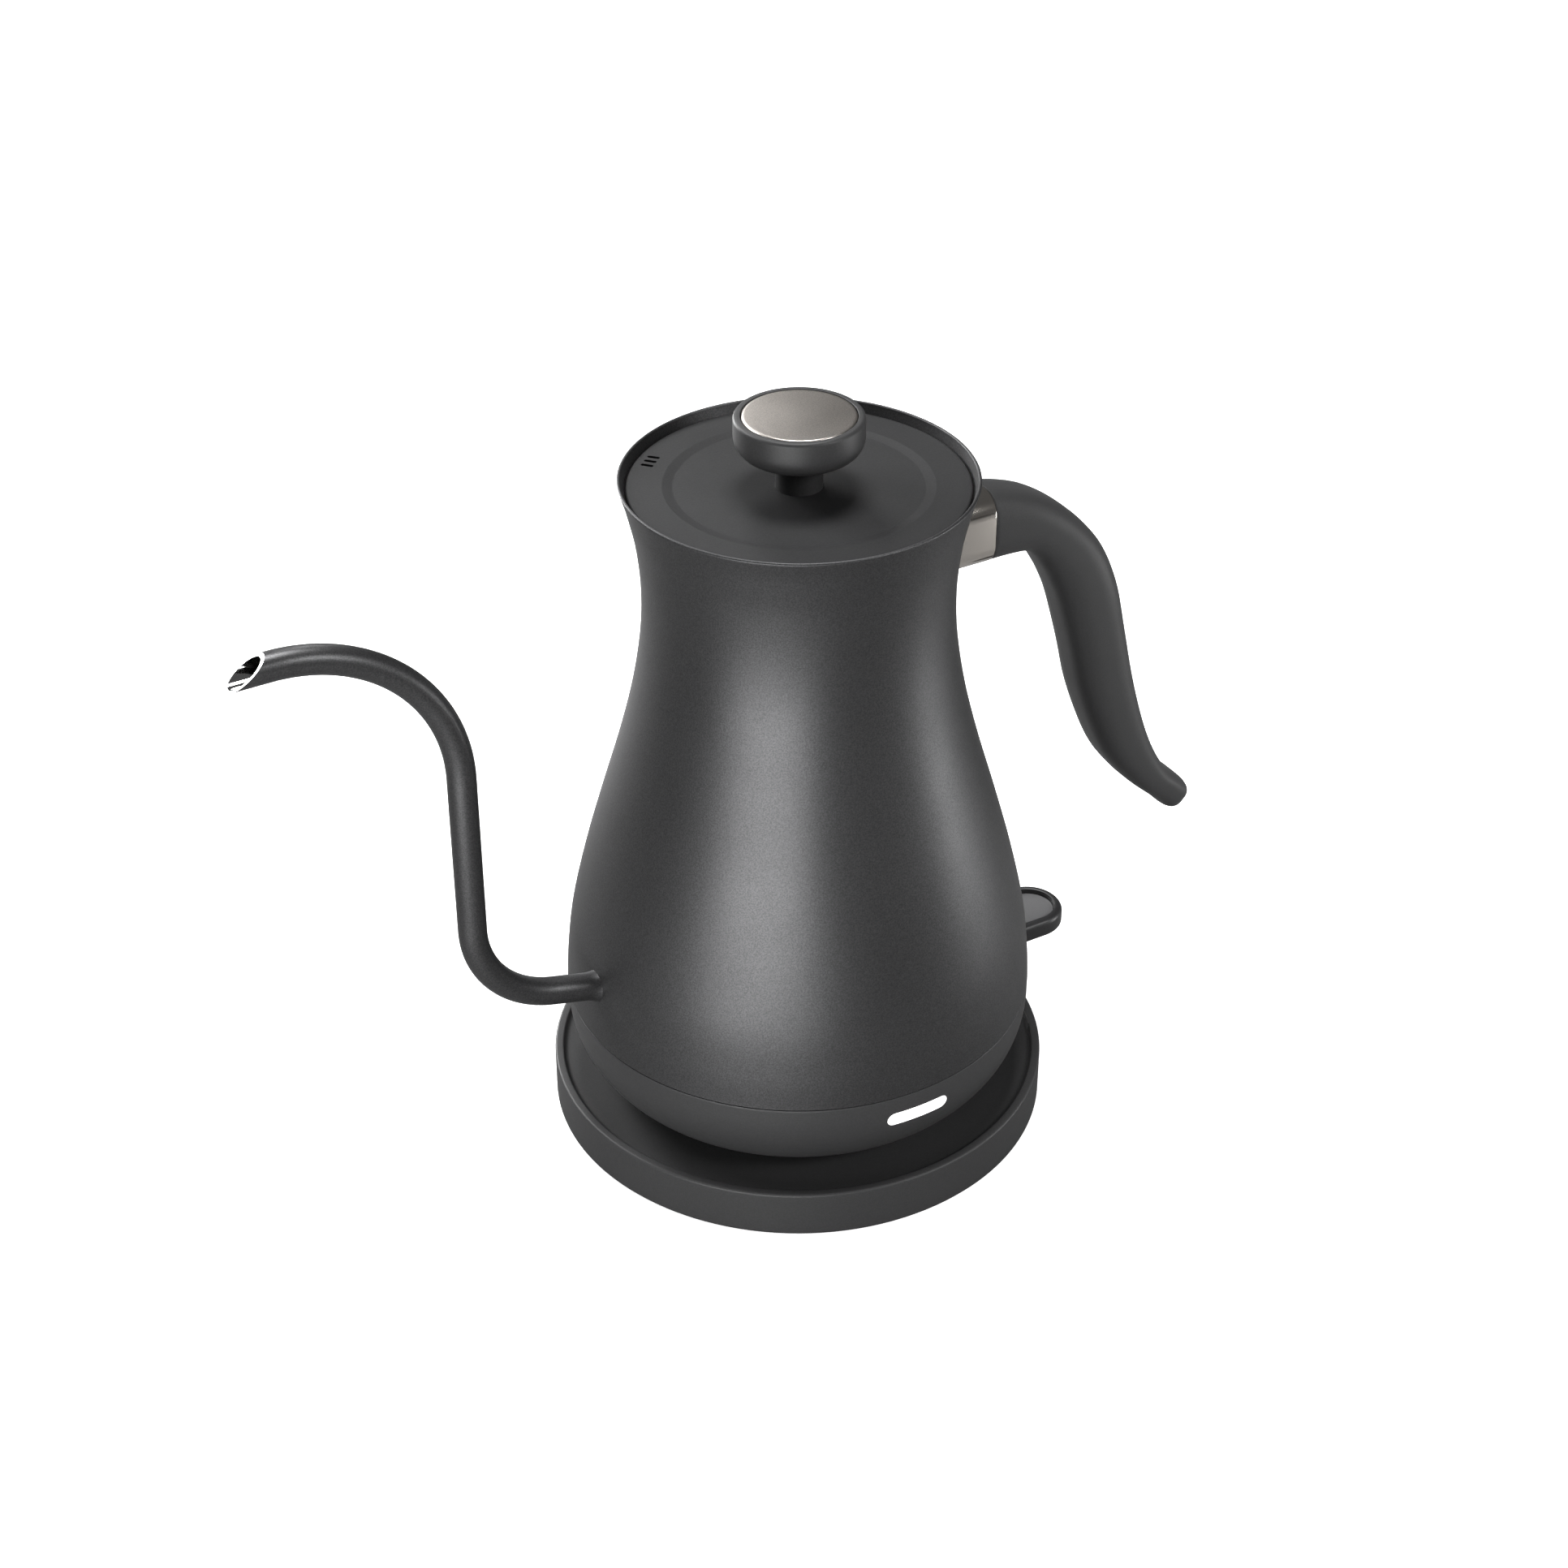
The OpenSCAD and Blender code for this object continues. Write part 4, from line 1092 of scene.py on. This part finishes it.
# %% [markdown]
# ## The collar
# A bright sleeve covers the joint between the vessel and the grip. Its section is a rounded
# rectangle with flat sides, so it shows one wide light band on each rounding. The end at the
# vessel follows the vessel's curve, because every line of it stops where it meets the wall.

# %% Collar
collar_low, collar_high = box_mm("handle_collar")
COLLAR_T = 1.2
COLLAR_CORNER = 6.5
COLLAR_GAP = 0.03


def collar_section(inset):
    """Points (y, z) of the sleeve's section, moved in by inset."""
    half, low, high = GRIP_W - inset, collar_low.z + inset, collar_high.z - inset
    radius = COLLAR_CORNER - inset
    return rounded([(half, low, radius), (half, high, radius), (-half, high, radius),
                    (-half, low, radius)], steps=16)


def collar_ring(inset, x=None):
    """Ring of the sleeve at x, or where it meets the vessel if x is left out."""
    ring = []
    for y, z in collar_section(inset):
        meets = math.sqrt((body_radius(z) + COLLAR_GAP) ** 2 - y * y)
        ring.append((meets if x is None else x, y, z))
    return ring


collar_end = collar_high.x
collar = loft("collar", [
    collar_ring(0.0), collar_ring(0.0, collar_end - 0.5), collar_ring(0.07, collar_end - 0.23),
    collar_ring(0.22, collar_end - 0.07), collar_ring(0.5, collar_end),
    collar_ring(COLLAR_T, collar_end), collar_ring(COLLAR_T),
], loop=True, sharp=40.0)
dress(collar, "kettle", "nickel_bright", ["handle_collar"])


# %% [markdown]
# ## The switch lever
# The lever is a round-ended paddle with a deep window, on a hub that turns on the pivot pin.
# Its skin is a row of rings with one shape: up the outside, over the rounded top edge, down
# the window's wall and across its floor. The hub, its neck and the short tail inside the
# skirt are joined on with exact booleans, and the bore for the pin is cut last.

# %% Switch lever
paddle_tip = lever_high.x
PADDLE_CX = paddle_tip - PADDLE_W
PADDLE_T = 6.0
RING_W = 2.6
WINDOW_FLOOR = PADDLE_Z + 1.2
NECK_X = PIVOT[0] + 4


def paddle_ring(inset, z, left, corner=1.0, steps=32):
    """Ring of the paddle's outline moved in by inset, from the round end back to left."""
    half = PADDLE_W - inset
    line = arc((PADDLE_CX, 0), half, -90, 90, steps)
    line += rounded([(PADDLE_CX - 1, half, 0), (left, half, corner), (left, -half, corner),
                     (PADDLE_CX - 1, -half, 0)], closed=False, steps=6)
    return [(x, y, z) for x, y in line]


LOW_EDGE = 1.1
TOP_EDGE = 1.9
top = PADDLE_Z + PADDLE_T
lower_edge = [(LOW_EDGE * (1 - math.cos(a)), PADDLE_Z + LOW_EDGE * (1 - math.sin(a)))
              for a in (1.5, 1.1, 0.7, 0.35, 0.0)]
upper_edge = [(TOP_EDGE * (1 - math.cos(a)), top - TOP_EDGE * (1 - math.sin(a)))
              for a in (0.0, 0.3, 0.6, 0.9, 1.2, 1.5)]
lever_rings = [paddle_ring(inset, z, NECK_X) for inset, z in lower_edge + upper_edge]
window_left = PIVOT[0] + 14
lever_rings += [
    paddle_ring(RING_W - 0.4, top, window_left - 0.2), paddle_ring(RING_W - 0.1, top - 0.15, window_left),
    paddle_ring(RING_W, top - 0.45, window_left), paddle_ring(RING_W, WINDOW_FLOOR, window_left),
]
lever = loft("lever", lever_rings)
HUB_R = 3.4
HUB_HALF = PADDLE_W - 0.2
PIN_BORE_R = 1.55
hub = rod("hub", (PIVOT[0], HUB_HALF, PIVOT[1]), (PIVOT[0], -HUB_HALF, PIVOT[1]), HUB_R)
boolean(hub, block(
    "neck", (PIVOT[0], -HUB_HALF, PIVOT[1] - 2.9), (PIVOT[0] + 5, HUB_HALF, PIVOT[1] + 3)
), "UNION")
boolean(hub, block("tail", (PIVOT[0] - 10, -3, PIVOT[1] - 1.5), (PIVOT[0] - 2, 3, PIVOT[1] + 1.5)), "UNION")
boolean(lever, hub, "UNION")
boolean(lever, rod("bore", (PIVOT[0], 20, PIVOT[1]), (PIVOT[0], -20, PIVOT[1]), PIN_BORE_R))
dress(lever, "switch", "dark_plastic", ["switch_lever"])

LENS_T = 3.2
LENS_EDGE = 0.35
LENS_LIFT = 0.02
lens_inset = RING_W + 0.05
lens_left = window_left + 0.05
lens = loft("lens", [
    paddle_ring(lens_inset, WINDOW_FLOOR + LENS_LIFT, lens_left),
    paddle_ring(lens_inset, WINDOW_FLOOR + LENS_T - LENS_EDGE, lens_left),
    paddle_ring(lens_inset + LENS_EDGE / 2, WINDOW_FLOOR + LENS_T, window_left + 0.2),
], sharp=50.0)
dress(lens, "switch", "smoky_lens", ["switch_lens"])


# %% [markdown]
# ## The lid
# The lid's top is a plastic disc with a soft step down to a shallow dish. It is turned from
# an outline, and the three vent slots at the edge are cut by stadium bars that stand upright.

# %% Lid top
lid_low, lid_high = box_mm("lid_cover")
LID_R = -lid_low.x
LID_Z = lid_high.z
COVER_T = 2.6
DISH_R = 36.0
DISH_DEPTH = 0.5
COVER_HOLE_R = 2.1
lid_line = rounded([
    (COVER_HOLE_R, LID_Z - COVER_T, 0), (LID_R - 0.8, LID_Z - COVER_T, 0.2),
    (LID_R, LID_Z - 1.1, 0.2), (LID_R, LID_Z, 0.55), (DISH_R + 0.6, LID_Z, 3.0),
    (DISH_R - 2.2, LID_Z - DISH_DEPTH, 3.0), (COVER_HOLE_R, LID_Z - DISH_DEPTH, 0),
], steps=8)
lid_top = turn("lid_top", lid_line)
VENT_TURN = math.radians(132)
VENT_R = 42.2
VENT_SPACING = 2.5
VENT_HALF = 1.2
VENT_END_R = 0.6


def upright_slot(offset):
    """Stadium bar for one vent slot, offset across the row of slots."""
    line = arc((VENT_HALF, 0), VENT_END_R, -90, 90, 10)
    line += arc((-VENT_HALF, 0), VENT_END_R, 90, 270, 10)
    ring = []
    for x, y in line:
        x, y = VENT_R + x, offset + y
        ring.append((x * math.cos(VENT_TURN) - y * math.sin(VENT_TURN),
                     x * math.sin(VENT_TURN) + y * math.cos(VENT_TURN)))
    return loft("slot", [[(x, y, z) for x, y in ring] for z in (LID_Z - 5, LID_Z + 5)])


for slot_index in (-1, 0, 1):
    boolean(lid_top, upright_slot(slot_index * VENT_SPACING))
dress(lid_top, "lid", "grey_plastic", ["lid_cover"], [lid_plastic])


# %% [markdown]
# ## The knob and its metal cap
# The knob is a thick round head on a straight stem. A satin disc is let into its top, with a
# thin dark groove round it and a bevel that catches the light.

# %% Knob
knob_low, knob_high = box_mm("lid_knob")
STEM_R = 6.45
KNOB_R = knob_high.x
HEAD_LOW = 211.0
KNOB_Z = knob_high.z
SCREW_HOLE_R = 1.75
CAP_SEAT_R = 15.6
CAP_SEAT_Z = KNOB_Z - 2
knob = turn("knob", rounded([
    (0, HEAD_LOW + 1, 0), (SCREW_HOLE_R, HEAD_LOW + 1, 0), (SCREW_HOLE_R, knob_low.z, 0),
    (STEM_R, knob_low.z, 0.1), (STEM_R, HEAD_LOW, 1.2),
    (KNOB_R, HEAD_LOW, 5.2), (KNOB_R, KNOB_Z, 3.4), (CAP_SEAT_R, KNOB_Z, 0.25),
    (CAP_SEAT_R, CAP_SEAT_Z, 0), (0, CAP_SEAT_Z, 0),
], closed=False, steps=12), closed=False, steps=160)
dress(knob, "lid", "grey_plastic", ["lid_knob"])

cap_low, cap_high = box_mm("knob_cap")
cap_r = cap_high.x - 0.1
cap = turn("knob_disc", rounded([
    (0, cap_low.z, 0), (cap_r, cap_low.z, 0), (cap_r, cap_high.z, 0.5),
    (0, cap_high.z, 0),
], closed=False, steps=4), closed=False, steps=160)
dress(cap, "lid", "nickel_satin", ["knob_cap"])


# %% [markdown]
# ## Screws in rings
# The same screw stands in a ring three times under the base and three times under the skirt.
# Geometry Nodes place the copies: a circle of points, one screw on each, made real at the
# end, because a stored mesh can't hold instances. One tree serves both rings.

# %% Ring of screws
def ring_tree():
    """Geometry Nodes: copies of the input on a circle, with named sizes."""
    tree, start, end = new_tree(
        "ring_of_copies", {"Count": "Int", "Circle Radius": "Float", "Start Angle": "Float"}
    )
    circle = tree.nodes.new("GeometryNodeMeshCircle")
    angle = tree.nodes.new("ShaderNodeCombineXYZ")
    spin = tree.nodes.new("GeometryNodeTransform")
    copies = tree.nodes.new("GeometryNodeInstanceOnPoints")
    link = tree.links.new
    link(start.outputs["Count"], circle.inputs["Vertices"])
    link(start.outputs["Circle Radius"], circle.inputs["Radius"])
    link(start.outputs["Start Angle"], angle.inputs["Z"])
    link(circle.outputs["Mesh"], spin.inputs["Geometry"])
    link(angle.outputs[0], spin.inputs["Rotation"])
    link(spin.outputs["Geometry"], copies.inputs["Points"])
    link(start.outputs["Geometry"], copies.inputs["Instance"])
    make_real(tree, start, copies.outputs["Instances"], end)
    return tree


RING = ring_tree()
GROOVE_HALF = 0.32


def screw_ring(name, body, node, head_r, head_h, shank_r, circle_r):
    """Ring of three cross-slotted screws, heads down, that stands for a CAD node."""
    low, high = box_mm(node)
    seat = low.z + head_h
    one = turn("screw", rounded([
        (0, low.z, 0), (head_r, low.z, min(0.7, head_h * 0.6)), (head_r, seat, 0.1),
        (shank_r, seat, 0), (shank_r, high.z - 0.5, 0), (shank_r - 0.5, high.z, 0),
        (0, high.z, 0),
    ], closed=False, steps=5), closed=False, steps=48)
    for wide, deep in ((head_r * 0.62, GROOVE_HALF), (GROOVE_HALF, head_r * 0.62)):
        boolean(one, block("cut", (-wide, -deep, low.z - 1), (wide, deep, low.z + head_h * 0.5)))
    one.data = run_tree(
        one, RING, Count=3, Circle_Radius=circle_r * MM, Start_Angle=math.radians(30), Finish=steel
    )
    one.name = name
    finish_mesh(one)
    dress(one, body, "steel", [node])


screw_ring("cover_screws", "power_base", "base_screws", 2.7, 0.9, 1.45, 52.0)
screw_ring("foot_screws", "kettle", "skirt_screws", 2.9, 1.8, 1.45, 50.0)


# %% [markdown]
# ## Finishes for the pieces that stay as they are
# The inner pieces have the right shape already. Each keeps its mesh and takes the finish of
# its own slot, so a look inside or underneath shows real materials too.

# %% Carried-over pieces
slots = {part["node"]: part["material_slot"] for part in frame["record"]["subparts"]}
kept = [name for name in nodes if not nodes[name].hide_render]
for name in kept:
    for material_slot in nodes[name].material_slots:
        material_slot.material = FINISHES[slots[name]]
print(len(kept), "pieces keep their CAD shape")


# %% [markdown]
# ## Light and floor
# A satin dark surface is described by what it mirrors, so the lamps are soft panels. The view
# is from above, and the metal side then mirrors what is low, so two of the panels stand low.
# The one left of the camera draws the broad bright band down the body. The panels at the
# sides and behind draw the paler edges, a small one stands where the knob's cap mirrors it,
# and one overhead lights the lid and the rims. The floor and the room are pale to the camera
# alone. Every other ray finds them darker, so they don't fill dark surfaces with even grey.

# %% Floor
FLOOR_HALF = 8.0
FLOOR_PALE = 0.93
FLOOR_DARK = 0.22
FLOOR_LIFT = 0.86
ROOM_LIGHT = 0.08


def for_camera(tree, others, camera_only):
    """Socket with one value for rays that come from the camera, and another for all others."""
    ray = tree.nodes.new("ShaderNodeLightPath")
    return add_range(tree, ray.outputs["Is Camera Ray"], 0.0, 1.0, others, camera_only)


floor_mesh = bpy.data.meshes.new("floor")
floor_mesh.from_pydata(
    [(-FLOOR_HALF, -FLOOR_HALF, 0), (FLOOR_HALF, -FLOOR_HALF, 0),
     (FLOOR_HALF, FLOOR_HALF, 0), (-FLOOR_HALF, FLOOR_HALF, 0)], [], [(0, 1, 2, 3)]
)
floor = bpy.data.objects.new("floor", floor_mesh)
scene.collection.objects.link(floor)
pale = bpy.data.materials.new("pale_floor")
pale.use_nodes = True
pale_tree = pale.node_tree
pale_shader = pale_tree.nodes["Principled BSDF"]
pale_shader.inputs["Roughness"].default_value = 0.9
pale_shader.inputs["Specular IOR Level"].default_value = 0.1
pale_shader.inputs["Emission Color"].default_value = (1.0, 1.0, 1.0, 1.0)
pale_tree.links.new(for_camera(pale_tree, FLOOR_DARK, FLOOR_PALE), pale_shader.inputs["Base Color"])
pale_tree.links.new(for_camera(pale_tree, 0.0, FLOOR_LIFT), pale_shader.inputs["Emission Strength"])
floor.data.materials.append(pale)

# %% Lamps
scene.view_settings.view_transform = "Standard"
CENTRE = Vector((0.0, 0.0, 0.10))


def panel(name, yaw, elevation, distance, width, height, power):
    """Area lamp. yaw is measured from the camera, positive to its right, in degrees."""
    data = bpy.data.lights.new(name, "AREA")
    data.shape = "RECTANGLE"
    data.size, data.size_y = width, height
    data.energy = power
    lamp = bpy.data.objects.new(name, data)
    way = direction(AZIMUTH + math.radians(yaw), math.radians(elevation))
    lamp.location = CENTRE + way * distance
    lamp.rotation_euler = (-way).to_track_quat("-Z", "Y").to_euler()
    lamp.visible_camera = False
    scene.collection.objects.link(lamp)
    return lamp


panel("key_panel", -19, -3.4, 0.50, 0.40, 0.14, 1.95)
panel("front_panel", 60, 33, 1.2, 0.34, 0.30, 4.4)
panel("right_panel", 92, -3.4, 0.50, 0.11, 0.14, 0.65)
panel("left_panel", -140, 7, 0.75, 0.18, 0.38, 4.6)
panel("back_panel", -116, 38, 1.0, 0.46, 0.40, 5.4)
panel("cap_panel", -164, 42, 0.5, 0.12, 0.12, 0.28)
panel("top_panel", 178, 78, 1.3, 0.5, 0.4, 11)

world = bpy.data.worlds.new("studio")
world.use_nodes = True
scene.world = world
sky = world.node_tree.nodes["Background"]
sky.inputs["Color"].default_value = (1.0, 1.0, 1.0, 1.0)
room_tree = world.node_tree
room_tree.links.new(for_camera(room_tree, ROOM_LIGHT, 1.0), sky.inputs["Strength"])


# %% [markdown]
# ## Done
# The finished look has to fill the same space as the CAD model.

# %% Done
print("scene built")
